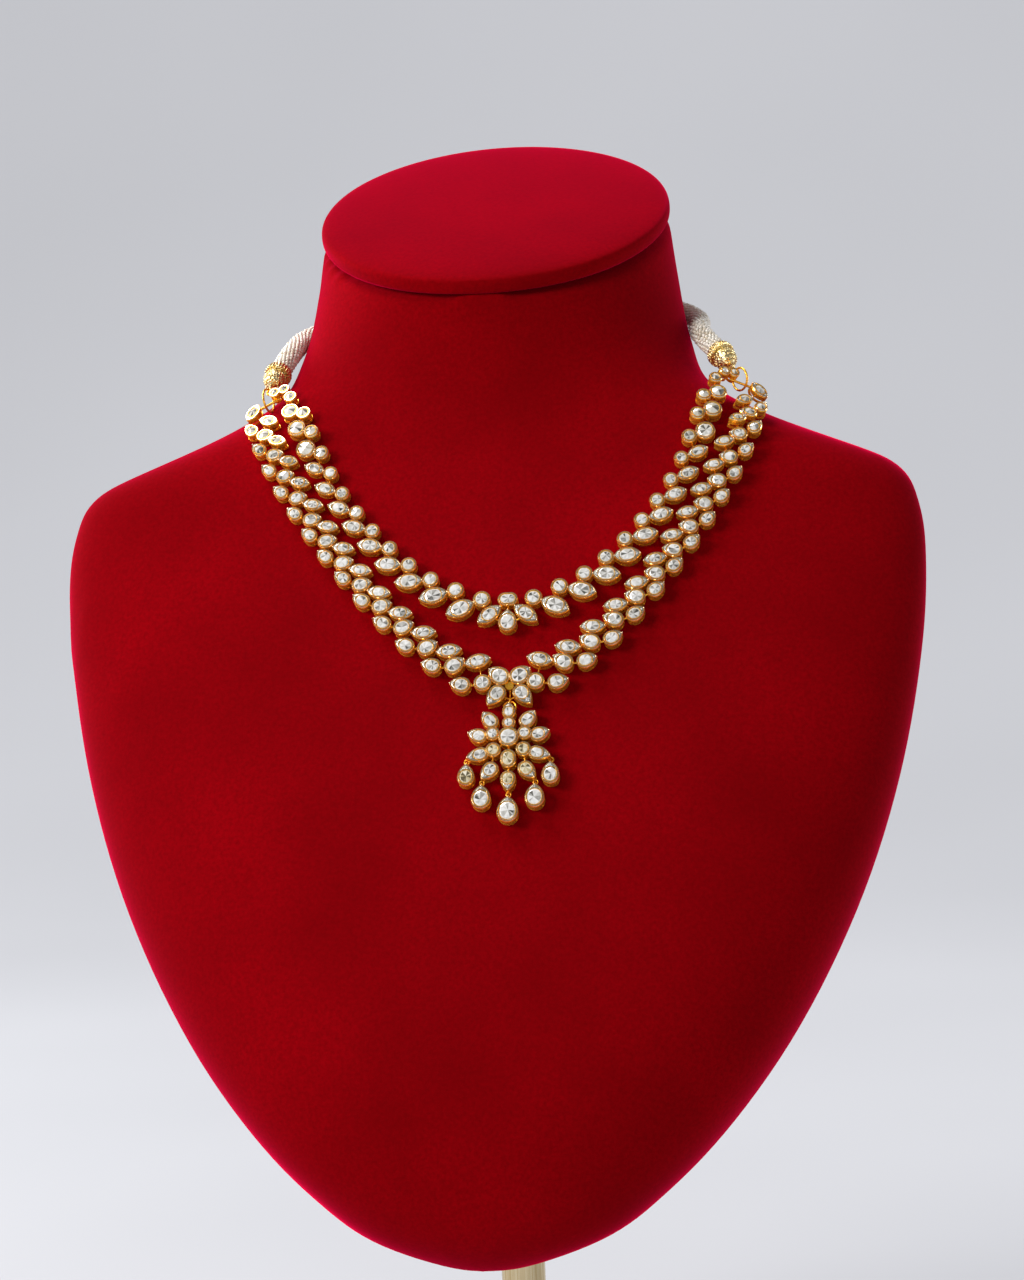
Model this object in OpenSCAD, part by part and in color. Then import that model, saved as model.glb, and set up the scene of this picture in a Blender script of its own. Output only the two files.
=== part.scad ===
// A two-strand kundan necklace with a lotus pendant, lying on a velvet neck bust on a post.
// The bust faces -Y, its base stands on z = 0 and the origin is the middle of the base.

/* [Bust] */
// Width of the bust over the shoulders
bust_w = 311; // [290:1:330]
// Height of the bust from its lowest point to the end of its section table
bust_h = 400; // [380:1:420]
// Depth that the bust's section table is drawn to
bust_d = 222; // [210:1:235]
// Height of the bust's lowest point above the table
bust_lift = 60; // [40:1:90]
// Distance of the neck's axis behind the middle of the base
neck_y = 54; // [50:1:58]
// Height of the middle of the neck's slanted top above the bust's lowest point
neck_cut = 362; // [355:1:370]
// Slope of the neck's slanted top in degrees
neck_tilt = 28; // [20:1:34]
// Thickness of the padded cap on the neck
cap_t = 6.5; // [4:0.5:9]
// Overhang of the cap past the neck
cap_lip = 0.8; // [0.3:0.1:1.5]

/* [Stand] */
// Diameter of the post
post_d = 16; // [12:1:20]
// Depth of the post inside the bust
post_in = 34; // [30:1:45]
// Diameter of the base plate
base_d = 180; // [150:5:220]
// Thickness of the base plate
base_t = 8; // [5:1:12]
// Radius of the base plate's rounded edge
base_edge = 2.5; // [1:0.5:2.5]

/* [Necklace on the bust] */
// Gap between the settings and the velvet
lay_gap = 0.4; // [0.3:0.05:0.8]
// Sideways shift of the necklace's middle towards +X
lay_shift = 11; // [6:0.5:13]
// Height of the shoulder ridge above the bust's lowest point, where the strands leave the velvet
ridge_h = 288; // [284:1:292]
// Backward run of the strands for each millimetre that they rise past the ridge
ridge_run = 0.9; // [0.85:0.01:0.95]
// Height of the pendant's middle above the bust's lowest point
pendant_h = 177; // [170:1:184]
// Height of the inner centre piece above the bust's lowest point
inner_h = 220.2; // [218:0.2:224]
// Height of the end bars above the bust's lowest point
bar_h = 296.5; // [295:0.5:298]
// Distance of the end bars from the necklace's middle
bar_reach = 85.2; // [84:0.1:86]

/* [Settings] */
// Height of the base wire under each setting
base_wire_h = 0.6; // [0.5:0.05:0.7]
// Width of the base wire
base_wire_w = 0.7; // [0.6:0.05:0.8]
// Height of the collet's underside above the bottom of the base wire
collet_z = 1.7; // [1.65:0.05:1.8]
// Thickness of the collet's floor
floor_t = 0.8; // [0.75:0.05:1]
// Depth of the stone's seat in the collet
seat_d = 1.5; // [1.2:0.05:1.8]
// Thickness of the collet's wall
wall = 0.5; // [0.45:0.05:0.55]
// Gap between a stone and its seat
stone_gap = 0.1; // [0.1:0.01:0.15]
// Rise of a stone's table above the collet's rim
stone_rise = 0.5; // [0.3:0.1:0.8]
// Facets round a stone
stone_facets = 8; // [8:1:10]
// Width of a stone's table as a share of the stone
table_share = 0.6; // [0.5:0.05:0.7]
// Radius of the wire of the eyes and of the posts' rods
eye_wire = 0.22; // [0.2:0.01:0.23]
// Mean radius of the eyes between links
eye_r = 0.73; // [0.72:0.01:0.8]
// Radius of the posts between the base wire and the collet
post_r = 0.34; // [0.3:0.01:0.35]
// Radius of the solder bridges between the collets of a link
bridge_r = 0.35; // [0.3:0.01:0.37]

/* [Inner strand] */
// Mean distance between links along the strand
inner_pitch = 9.4; // [9.2:0.1:9.7]
// Distance between the two stones of the first link
pair_first = 5.3; // [5:0.1:5.4]
// Distance between the two stones of the last link
pair_last = 8.3; // [8:0.1:8.4]
// Radius of the first link's round stone
round_first = 2.3; // [2.1:0.05:2.4]
// Radius of the last link's round stone
round_last = 3; // [2.8:0.05:3.05]

/* [Outer strand] */
// Mean distance between rows along the strand
outer_pitch = 11; // [10.7:0.1:11.3]
// Distance from the middle stone to the outer pear in the first row
fan_first = 5.4; // [5.2:0.1:5.6]
// Distance from the middle stone to the outer pear in the last row
fan_last = 7.1; // [6.9:0.1:7.3]
// Distance from the middle stone to the marquise in the first row
reach_first = 6.3; // [6.1:0.1:6.5]
// Distance from the middle stone to the marquise in the last row
reach_last = 8.8; // [8.6:0.1:8.9]
// Radius of the middle stone in the first row
mid_first = 2.45; // [2.3:0.05:2.5]
// Radius of the middle stone in the last row
mid_last = 3.05; // [2.9:0.05:3.1]

/* [Ends] */
// Length of the end bar
bar_l = 9.2; // [9:0.1:9.4]
// Radius of the end bar
bar_r = 0.45; // [0.4:0.01:0.5]
// Radius of the ball cap's ball
ball_r = 3.9; // [3.5:0.1:4.1]
// Radius of the wire of the chain rings
ring_wire = 0.4; // [0.35:0.01:0.42]
// Clearance between two linked rings
ring_gap = 0.15; // [0.1:0.01:0.2]
// Radius of the bead rope
rope_r = 4.1; // [3.8:0.1:4.3]
// Gap between the bead rope and the neck
rope_gap = 1; // [0.9:0.1:1.6]
// Length of the clasp
clasp_l = 14; // [12:0.5:16]
// Radius of the clasp
clasp_r = 3.5; // [3:0.1:3.9]

/* [Pendant] */
// Radius of the middle stone of the pendant
lotus_r = 3.5; // [3.4:0.05:3.6]
// Distance of the hinge above the pendant's middle, along the velvet
hinge_v = 14.3; // [14.3:0.1:14.6]
// Height of the hinge above the back of the settings
hinge_z = 1.3; // [1.25:0.01:1.35]
// Mean radius of the bail ring
bail_r = 2.1; // [2:0.05:2.2]
// Radius of the bail ring's wire
bail_wire = 0.33; // [0.3:0.01:0.35]
// Mean radius of the eye that the bail hangs in
hinge_eye_r = 0.8; // [0.78:0.01:0.82]
// Radius of the wire of that eye
hinge_eye_wire = 0.3; // [0.28:0.01:0.3]
// Mean radius of the loops that carry the drops
loop_r = 0.8; // [0.78:0.01:0.85]
// Radius of the wire of those loops
loop_wire = 0.25; // [0.23:0.01:0.26]

/* [Hidden] */
SIDES = ["left", "right"];
RING_STONES = 6;
PETALS = 10;
DROPS = 5;
CENTRE_STONES = 4;
$fn = 48;

// Columns of the bust's section table, a row for each height:
// height, half width, widest point's depth, front, back, and the squareness of the section.
HEIGHT = 0;
HALF = 1;
SIDE = 2;
FRONT = 3;
BACK = 4;
POWER = 5;
// Heights are shares of bust_h, half widths of half of bust_w and depths of bust_d from the neck's axis.
BODY = [
    [0.000, 0.051, -0.631, -0.658, -0.604, 2.0],
    [0.005, 0.116, -0.626, -0.689, -0.563, 2.0],
    [0.020, 0.238, -0.608, -0.725, -0.500, 2.1],
    [0.055, 0.379, -0.577, -0.757, -0.432, 2.3],
    [0.125, 0.566, -0.523, -0.757, -0.351, 2.5],
    [0.235, 0.759, -0.455, -0.694, -0.243, 2.6],
    [0.3625, 0.900, -0.383, -0.590, -0.140, 2.7],
    [0.4875, 0.977, -0.315, -0.477, -0.054, 2.7],
    [0.5875, 1.000, -0.261, -0.385, 0.018, 2.6],
    [0.6375, 0.984, -0.230, -0.338, 0.059, 2.6],
    [0.670, 0.932, -0.212, -0.311, 0.090, 2.6],
    [0.690, 0.810, -0.203, -0.293, 0.113, 2.7],
    [0.715, 0.650, -0.180, -0.275, 0.144, 2.7],
    [0.745, 0.514, -0.144, -0.257, 0.180, 2.5],
    [0.785, 0.466, -0.072, -0.245, 0.216, 2.2],
    [0.845, 0.435, -0.014, -0.239, 0.234, 2.0],
    [0.930, 0.408, 0.009, -0.225, 0.243, 2.0],
    [1.000, 0.390, 0.009, -0.221, 0.239, 2.0],
];
// Heights of the bust's rings as shares of bust_h, up to where the neck blends into its slanted top.
RING_SHARES = [0, 0.005, 0.02, 0.035, 0.055, 0.085, 0.125, 0.175, 0.235, 0.3, 0.3625, 0.425, 0.4875, 0.54,
    0.5875, 0.615, 0.6375, 0.655, 0.67, 0.68, 0.69, 0.7025, 0.715, 0.73, 0.745, 0.76];
neck_rings = 7;
bust_columns = 48;
// The cap's rings: step outwards past the neck, and height, as shares of cap_lip and cap_t.
CAP = [[-1.5, 0.05], [0.4, 0.12], [1, 0.3], [1, 0.7], [0.3, 0.9], [-1.2, 1], [-12, 1.15], [-40, 1.28]];

// Route of each strand: reach from the necklace's middle as a share of half of bust_w, and height as a
// share of bust_h. The first and last points of a strand come from the end bar and the centre piece.
INNER_ROUTE = [[0.446, 0.700], [0.397, 0.660], [0.300, 0.612], [0.200, 0.578]];
OUTER_ROUTE = [[0.502, 0.666], [0.418, 0.616], [0.311, 0.565], [0.181, 0.518]];
// Route of the bead rope round the neck: angle from the front and height as a share of bust_h.
ROPE_ROUTE = [[84, 0.795], [100, 0.808], [122, 0.822], [146, 0.832], [166, 0.837]];
rope_back = 0.838;

// Where the strands start, as steps outwards and upwards from the middle of the end bar.
inner_start = [-8.8, 0.8];
outer_start = [1.7, -12.2];
// Where they end, as steps outwards and upwards from the middle of their centre piece.
inner_end = [12.9, 2.2];
outer_end = [9.2, 18.5];
// Where the single marquise over the outer strand and the ball cap lie, from the middle of the end bar.
single_step = [-0.4, -7.1];
ball_step = [-2.4, 10.8];

// Share by which the first pitches of a strand are shorter than the mean, and the last ones longer.
inner_grade = 0.12;
outer_grade = 0.14;
route_steps = 48;
frame_step = 5;

base_z = bust_lift;
ridge_z = bust_lift + ridge_h;
bar_z = bust_lift + bar_h;
inner_z = bust_lift + inner_h;
pendant_z = bust_lift + pendant_h;
seat_z = collet_z + floor_t;
rim_z = seat_z + seat_d;
eye_z = (base_wire_h + collet_z)/2;
bridge_z = collet_z + floor_t/2;
fit = 0.3;

function clamp(v, low, high) = min(max(v, low), high);
function mix(a, b, t) = a + (b - a)*t;
function unit(v) = v/norm(v);

// Smooth curve through the rows of a table: column k at position p of the first column.
function slope(table, k, i) =
    i == 0 ? (table[1][k] - table[0][k])/(table[1][0] - table[0][0])
    : i == len(table) - 1 ? (table[i][k] - table[i - 1][k])/(table[i][0] - table[i - 1][0])
    : let (before = table[i][0] - table[i - 1][0], after = table[i + 1][0] - table[i][0])
        (after*(table[i][k] - table[i - 1][k])/before
            + before*(table[i + 1][k] - table[i][k])/after)/(before + after);
function row_below(table, p, i = 0) =
    i >= len(table) - 2 || p < table[i + 1][0] ? i : row_below(table, p, i + 1);
function smooth(table, k, p) =
    let (i = row_below(table, p), h = table[i + 1][0] - table[i][0], u = clamp((p - table[i][0])/h, 0, 1))
    (2*u^3 - 3*u^2 + 1)*table[i][k] + (u^3 - 2*u^2 + u)*h*slope(table, k, i)
        + (3*u^2 - 2*u^3)*table[i + 1][k] + (u^3 - u^2)*h*slope(table, k, i + 1);

// Smooth curve through points of any dimension, with t from 0 to 1.
function curve(points, t) =
    let (last = len(points) - 1, s = clamp(t, 0, 1)*last, i = min(floor(s), last - 1), u = s - i,
        b = points[i], c = points[i + 1],
        a = i > 0 ? points[i - 1] : 2*b - c,
        d = i < last - 1 ? points[i + 2] : 2*c - b)
    b + (c - a)*u/2 + (2*a - 5*b + 4*c - d)*u^2/2 + (3*b - a - 3*c + d)*u^3/2;

// The bust's surface.
function share(z) = (z - base_z)/bust_h;
function body(column, z) = smooth(BODY, column, clamp(share(z), 0, 1));
function half_at(z) = bust_w/2*body(HALF, z);
function depth_at(column, z) = neck_y + bust_d*body(column, z);
function chest_y(x, z) =
    let (middle = depth_at(SIDE, z), n = body(POWER, z), s = min(abs(x)/half_at(z), 0.999))
    middle - (middle - depth_at(FRONT, z))*pow(1 - pow(s, n), 1/n);
// Point of the section at height z, at the angle a from +X.
function section(a, z) =
    let (c = cos(a), s = sin(a), e = 2/body(POWER, z), middle = depth_at(SIDE, z),
        depth = s < 0 ? middle - depth_at(FRONT, z) : depth_at(BACK, z) - middle)
    [half_at(z)*sign(c)*pow(abs(c), e), middle + depth*sign(s)*pow(abs(s), e)];
function cut_z(y) = base_z + neck_cut + (y - neck_y)*tan(neck_tilt);
function cut_point(a) =
    let (z = cut_z(section(a, cut_z(neck_y))[1]), p = section(a, z)) [p[0], p[1], cut_z(p[1])];
function body_ring(z) = [for (k = [0:bust_columns - 1])
    let (p = section(360*k/bust_columns, z)) [p[0], p[1], z]];
function neck_ring(t) = [for (k = [0:bust_columns - 1])
    let (a = 360*k/bust_columns, top = cut_point(a),
        z = mix(base_z + bust_h*RING_SHARES[len(RING_SHARES) - 1], top[2], t), p = section(a, z))
    t == 1 ? top : [p[0], p[1], z]];

// Where the necklace lies: a point at h from its middle and at height z, on the given side.
function sway(z) =
    let (u = clamp((share(z) - 0.475)/0.3125, 0, 1)) lay_shift*(1 - 0.42*u - 0.58*u^8);
function lay_y(x, z) = chest_y(x, min(z, ridge_z)) + max(0, z - ridge_z)*ridge_run;
function spot(side, h, z) = let (x = side*h + sway(z)) [x, lay_y(x, z), z];
// A frame there: origin, outward direction, uphill direction, direction off the velvet, and side.
// The outward direction is turned uphill by the angle turn.
function frame(side, h, z, turn = 0, lift = 0, step = frame_step) =
    let (c = step*cos(turn), s = step*sin(turn),
        outward = unit(spot(side, h + c, z + s) - spot(side, h - c, z - s)),
        across = spot(side, h - s, z + c) - spot(side, h + s, z - c),
        off = side*unit(cross(outward, across)))
    [spot(side, h, z) + off*(lay_gap + lift), outward, side*cross(off, outward), off, side];
function place(f, p) = f[0] + f[1]*p[0] + f[2]*p[1] + f[3]*p[2];

// Stations of a strand, [reach, height] for each link, with pitches that grow towards the middle.
function route(start, shares, end) =
    concat([start], [for (p = shares) [p[0]*bust_w/2, base_z + p[1]*bust_h]], [end]);
function on_velvet(p) = [p[0], lay_y(p[0], p[1]), p[1]];
function traced(points) = [for (k = [0:route_steps]) curve(points, k/route_steps)];
function run_lengths(trace) = [for (k = 0, sum = 0; k < len(trace);
    sum = sum + (k + 1 < len(trace) ? norm(on_velvet(trace[k + 1]) - on_velvet(trace[k])) : 0),
    k = k + 1) sum];
function at_length(trace, runs, s) =
    let (i = max([for (k = [0:len(runs) - 2]) runs[k] <= s ? k : 0]),
        u = clamp((s - runs[i])/(runs[i + 1] - runs[i]), 0, 1))
    mix(trace[i], trace[i + 1], u);
function stations(points, pitch, grade) =
    let (trace = traced(points), runs = run_lengths(trace), total = runs[route_steps],
        count = round(total/pitch))
    [for (i = [0:count]) let (t = i/count) at_length(trace, runs, total*(t*(1 - grade) + grade*t^2))];

bar_spot = [bar_reach, bar_z];
INNER = stations(route(bar_spot + inner_start, INNER_ROUTE, [0, inner_z] + inner_end), inner_pitch,
    inner_grade);
OUTER = stations(route(bar_spot + outer_start, OUTER_ROUTE, [0, pendant_z] + outer_end), outer_pitch,
    outer_grade);
inner_last = len(INNER) - 1;
outer_last = len(OUTER) - 1;

// A gem in its setting: place in the link's frame (outward and uphill), turn of its long axis, half
// width, reach of its outline against and along that axis, and extra height of its rim. An end that
// reaches less than blunt past the half width is round, any other end is pointed.
GX = 0;
GY = 1;
TURN = 2;
WIDE = 3;
NEAR = 4;
FAR = 5;
RISE = 6;
blunt = 1.2;
// Distance of a post inside its collet's outline.
foot_in = 0.08;
// A stem is slimmer than the wire that it holds.
slim = 0.85;
function gem(x, y, turn, wide, near, far, rise = 0) = [x, y, turn, wide, near, far, rise];
function round_gem(x, y, r, rise = 0) = gem(x, y, 0, r, r, r, rise);
function arc_r(wide, reach) = (reach^2 + wide^2)/(2*wide);
function inset_reach(wide, reach, inset) =
    reach - wide < blunt ? reach - inset
    : let (r = arc_r(wide, reach)) sqrt((r - inset)^2 - (r - wide)^2);
function inset(g, d) =
    gem(g[GX], g[GY], g[TURN], g[WIDE] - d, inset_reach(g[WIDE], g[NEAR], d),
        inset_reach(g[WIDE], g[FAR], d), g[RISE]);
// Distance from a gem's middle to its outline in the direction a of the link's frame.
function outline_reach(g, a) =
    let (psi = a - g[TURN], wide = g[WIDE], reach = cos(psi) < 0 ? g[NEAR] : g[FAR], more = reach - wide,
        r = arc_r(wide, reach))
    more < blunt ? more*abs(cos(psi)) + sqrt(wide^2 - (more*sin(psi))^2)
    : sqrt(r^2 - ((r - wide)*cos(psi))^2) - (r - wide)*abs(sin(psi));
function middle_of(f, g) = place(f, [g[GX], g[GY], 0]);
function bearing(f, g, target) = let (v = target - middle_of(f, g)) atan2(v*f[2], v*f[1]);
function edge(g, a, inside) =
    let (r = outline_reach(g, a) - inside) [g[GX] + r*cos(a), g[GY] + r*sin(a)];
function foot(g, a) = edge(g, a, post_r + foot_in);
function props(a) = [a, a + 120, a + 240];

// Solids shared by the parts of the necklace. Points are in a link's frame, outward and uphill.
module seat_on(f) {
    across = f[4]*f[2];
    multmatrix([
        [f[1][0], across[0], f[3][0], f[0][0]],
        [f[1][1], across[1], f[3][1], f[0][1]],
        [f[1][2], across[2], f[3][2], f[0][2]],
        [0, 0, 0, 1],
    ]) children();
}

module half_outline(wide, reach) {
    more = reach - wide;
    r = arc_r(wide, reach);
    intersection() {
        translate([0, -2*wide]) square([2*reach, 4*wide]);
        if (more < blunt) {
            union() {
                translate([more, 0]) circle(wide);
                if (more > 0) translate([0, -wide]) square([more, 2*wide]);
            }
        } else {
            intersection() {
                translate([0, r - wide]) circle(r);
                translate([0, wide - r]) circle(r);
            }
        }
    }
}

module outline(g) {
    if (g[NEAR] == g[WIDE] && g[FAR] == g[WIDE]) {
        circle(g[WIDE]);
    } else {
        half_outline(g[WIDE], g[FAR]);
        rotate(180) half_outline(g[WIDE], g[NEAR]);
    }
}

// The setting of one gem: base wire, posts at the given directions, and collet with its seat.
module setting(f, g, directions) {
    side = f[4];
    seat_on(f) {
        translate([g[GX], side*g[GY], 0]) rotate(side*g[TURN]) {
            linear_extrude(base_wire_h) difference() {
                outline(g);
                outline(inset(g, base_wire_w));
            }
            translate([0, 0, collet_z]) difference() {
                linear_extrude(rim_z + g[RISE] - collet_z) outline(g);
                translate([0, 0, floor_t + g[RISE]]) linear_extrude(2*seat_d) outline(inset(g, wall));
            }
        }
        for (a = directions) {
            p = foot(g, a);
            translate([p[0], side*p[1], base_wire_h/2])
                cylinder(h = bridge_z - base_wire_h/2, r = post_r);
        }
    }
}

function stone_ring(g, z, grow) =
    [for (k = [0:stone_facets - 1])
        let (a = 360*k/stone_facets, reach = cos(a) < 0 ? g[NEAR] : g[FAR],
            psi = g[TURN] + atan2(g[WIDE]*sin(a), reach*cos(a)), r = grow*outline_reach(g, psi))
        [r*cos(psi), r*sin(psi), z]];

// A cut stone: flat back, girdle just under the collet's rim, crown facets and table.
// Depth of the girdle as a share of the seat, and width of the flat back as a share of the stone.
girdle_share = 0.2;
back_share = 0.86;
module stone(f, g) {
    side = f[4];
    n = stone_facets;
    cut = inset(g, wall + stone_gap);
    bottom = seat_z + g[RISE] + stone_gap;
    top = rim_z + g[RISE] + stone_rise;
    girdle = rim_z + g[RISE] - girdle_share*seat_d;
    rings = [stone_ring(cut, bottom, back_share), stone_ring(cut, girdle, 1),
        stone_ring(cut, top, table_share)];
    points = [for (ring = rings, p = ring) [g[GX] + p[0], side*(g[GY] + p[1]), p[2]]];
    faces = concat(
        [[for (k = [0:n - 1]) k], [for (k = [n - 1:-1:0]) 2*n + k]],
        [for (j = [0:1], k = [0:n - 1])
            [j*n + k, (j + 1)*n + k, (j + 1)*n + (k + 1)%n, j*n + (k + 1)%n]]);
    turned = [for (face = faces) [for (k = [len(face) - 1:-1:0]) face[k]]];
    seat_on(f) polyhedron(points, side > 0 ? faces : turned);
}

// A round wire from p to q.
module rod(p, q, r) {
    along = unit(q - p);
    helper = abs(along[2]) < 0.8 ? [0, 0, 1] : [1, 0, 0];
    across = unit(cross(helper, along));
    third = cross(along, across);
    multmatrix([
        [across[0], third[0], along[0], p[0]],
        [across[1], third[1], along[1], p[1]],
        [across[2], third[2], along[2], p[2]],
        [0, 0, 0, 1],
    ]) cylinder(h = norm(q - p), r = r);
}

// A ring of round wire round the Z axis.
module ring(r, wire) {
    rotate_extrude() translate([r, 0]) circle(wire, $fn = 24);
}

// A ring at the point p whose axis is the unit vector n.
module ring_at(p, n, r, wire) {
    helper = abs(n[2]) < 0.8 ? [0, 0, 1] : [1, 0, 0];
    across = unit(cross(helper, n));
    third = cross(n, across);
    multmatrix([
        [across[0], third[0], n[0], p[0]],
        [across[1], third[1], n[1], p[1]],
        [across[2], third[2], n[2], p[2]],
        [0, 0, 0, 1],
    ]) ring(r, wire);
}

// The solder between two settings of one link, where their collets don't meet by themselves.
module bridge(f, a, b) {
    turn = atan2(b[GY] - a[GY], b[GX] - a[GX]);
    start = edge(a, turn, wall);
    end = edge(b, turn + 180, wall);
    gap = norm([b[GX] - a[GX], b[GY] - a[GY]]) - outline_reach(a, turn) - outline_reach(b, turn + 180);
    if (gap > -wall/2)
        rod(place(f, [start[0], start[1], bridge_z]), place(f, [end[0], end[1], bridge_z]), bridge_r);
}

// The wire from gem a's setting that ends in an eye round a post of gem b's setting.
module hook(fa, a, fb, b) {
    own = foot(a, bearing(fa, a, middle_of(fb, b)));
    other = foot(b, bearing(fb, b, middle_of(fa, a)));
    start = place(fa, [own[0], own[1], eye_z]);
    eye = place(fb, [other[0], other[1], eye_z]);
    rod(start, eye + unit(start - eye)*eye_r, slim*eye_wire);
    seat_on(fb) translate([other[0], fb[4]*other[1], eye_z]) ring(eye_r, eye_wire);
}

// Inner strand: link 0 is a single round, the next ones are pairs of an outer and an inner stone.
round_pairs = 3;
// The first links lie higher than the others, over the root of the neck.
raised_links = 2;
raised_by = 0.8;
function inner_turn(t) = 18 - 39*((t - 0.375)/0.625)^2;
function inner_frame(side, i) =
    frame(side, INNER[i][0], INNER[i][1], inner_turn(i/inner_last), i <= raised_links ? raised_by : 0);
function inner_gems(i) =
    let (t = i/inner_last, d = mix(pair_first, pair_last, t), r = mix(round_first, round_last, t))
    i == 0 ? [round_gem(0, 0, r)]
    : i <= round_pairs ? [round_gem(d/2, 0, d - r - 0.1), round_gem(-d/2, 0, r + 0.2)]
    : let (reach = d - r + 0.1) [gem(d/2, 0, 0, 0.6*reach, reach, reach), round_gem(-d/2, 0, r)];

// Outer strand: rows of an outer pear, a middle pear and a marquise. The last row has no marquise.
function outer_turn(t) = 22 - 26*pow(max(0, t - 0.58)/0.42, 1.3);
function outer_frame(side, i) = frame(side, OUTER[i][0], OUTER[i][1], outer_turn(i/outer_last));
function outer_gems(i) =
    let (t = i/outer_last, r = mix(mid_first, mid_last, t), fan = mix(fan_first, fan_last, t),
        reach = mix(reach_first, reach_last, t), half = 0.48*reach + 0.6, leaf = 0.93*r,
        rise = i == outer_last - 1 ? 2 : 0,
        pear = gem(fan, 0, 15, leaf, leaf, 1.6*leaf))
    i == outer_last ? [round_gem(0, 0, r), pear]
    : [gem(0, 0, 145, r, r, 1.6*r), pear, gem(-reach, rise, -15, 0.56*half, half, half)];
function single_frame(side) = frame(side, bar_reach + single_step[0], bar_z + single_step[1], 8);
single_gem = gem(0, 0, 0, 0.9*mid_first, 1.55*mid_first, 1.55*mid_first);

// End bar: two small rounds at its inner end and a marquise at its outer end.
bar_turn = -25.6;
bar_level = collet_z + bar_r/2;
function bar_frame(side) = frame(side, bar_reach, bar_z, bar_turn);
tip_r = 2;
bar_gems = [
    round_gem(0.75 - bar_l/2, tip_r + 0.3, tip_r),
    round_gem(0.75 - bar_l/2 - 1.82*tip_r, tip_r - 0.7, tip_r),
    gem(bar_l/2 + 2, -1.6, -35, 2.3, 3.9, 3.9),
];

// Centre pieces and pendant, in the frame of the pendant's middle or of the inner centre.
function front_frame() = frame(1, 0, pendant_z, 0, 0, 16);
function centre_frame() = frame(1, 0, inner_z, 0);
function both(x, y, turn, wide, near, far, rise = 0) =
    [gem(-x, y, 180 - turn, wide, near, far, rise), gem(x, y, turn, wide, near, far, rise)];
inner_centre_gems = concat(
    [gem(0, 3.8, 0, 2.45, 3.45, 3.45), gem(0, -5.3, 90, 3.2, 3.2, 5)],
    both(6.4, -1.9, -37, 2.75, 5.1, 5.1));
outer_centre_gems = concat(
    both(3.15, 22.9, 35, 3.2, 3.2, 5),
    both(4.1, 16.75, -52, 2.9, 2.9, 5.7));
lotus_rise = 0.8;
ring_rise = 0.4;
lotus_gem = round_gem(0, 0, lotus_r, lotus_rise);
ring_gems = concat(
    [round_gem(0, 5.3, 2.2, ring_rise)],
    both(5.5, 1.4, 0, 2.45, 2.45, 2.45, ring_rise),
    both(5.2, -4.6, 0, 2.6, 2.6, 2.6, ring_rise),
    [gem(0, -8, 90, 2.6, 3.3, 3.3, ring_rise)]);
petal_gems = concat(
    [gem(0, 9.3, 90, 2.25, 2.25, 3.55)],
    both(6.4, 6.3, 50, 2.6, 3, 4.2),
    both(10, 0.8, 18, 2.6, 2.6, 4.4),
    both(9.7, -6, -14, 2.5, 2.8, 5),
    both(6, -11.6, -48, 2.7, 2.7, 4.8),
    [gem(0, -15, -90, 2.6, 2.6, 4.6)]);
// The ring stone that each petal springs from.
PETAL_RING = [0, 1, 2, 1, 2, 3, 4, 3, 4, 5];
// The petals that carry a drop, with half the drop's width and the length of its point.
DROP_SIZES = [[5, 2.9, 5], [7, 3.3, 5.2], [9, 3.6, 5.6], [8, 3.3, 5.2], [6, 3, 5]];
drop_pitch = 2*loop_r - 2*loop_wire - ring_gap;
// Overlap of a loop with the tip that it is soldered to, and distance of the post inside that tip.
loop_in = 0.15;
tip_post_in = 0.8;
function tip_of(g) = [g[GX] + g[FAR]*cos(g[TURN]), g[GY] + g[FAR]*sin(g[TURN])];
function drop_petal(k) = petal_gems[DROP_SIZES[k][0]];
function petal_loop(k) = tip_of(drop_petal(k)) - [0, loop_r - loop_in];
function drop_loop(k) = petal_loop(k) - [0, drop_pitch];
function drop_gem(k) =
    let (size = DROP_SIZES[k], p = drop_loop(k) - [0, loop_r - loop_in + size[2]])
    gem(p[0], p[1], 90, size[1], size[1], size[2]);

module base_plate() {
    rim = base_d/2 - base_edge;
    color("gainsboro") rotate_extrude($fn = 96) {
        square([rim, base_t]);
        translate([0, base_edge]) square([base_d/2, base_t - 2*base_edge]);
        for (z = [base_edge, base_t - base_edge]) translate([rim, z]) intersection() {
            circle(base_edge, $fn = 32);
            translate([0, -base_edge]) square(2*base_edge);
        }
    }
}

// Height at which the post's axis meets the bust's back.
function back_z(low, high, tries = 20) =
    let (z = (low + high)/2) tries == 0 ? z
    : depth_at(BACK, z) < 0 ? back_z(z, high, tries - 1) : back_z(low, z, tries - 1);
post_top = back_z(base_z, base_z + bust_h/2) + post_in;

module post() {
    color("wheat") translate([0, 0, base_t]) cylinder(h = post_top - base_t, d = post_d);
}

// A closed skin over rings of equal count, with a flat or pointed lid at each end.
module skin(rings, low, high) {
    n = len(rings[0]);
    count = len(rings);
    points = concat([for (ring = rings, p = ring) p], [low, high]);
    sides = [for (j = [0:count - 2], k = [0:n - 1], half = [0, 1])
        let (a = j*n + k, b = j*n + (k + 1)%n)
        half == 0 ? [a, a + n, b + n] : [a, b + n, b]];
    lids = concat(
        [for (k = [0:n - 1]) [count*n, k, (k + 1)%n]],
        [for (k = [0:n - 1]) [count*n + 1, (count - 1)*n + (k + 1)%n, (count - 1)*n + k]]);
    polyhedron(points, concat(sides, lids));
}

function average(points) = [for (axis = [0:2]) [for (p = points) p[axis]]*[for (p = points) 1/len(points)]];

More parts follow.
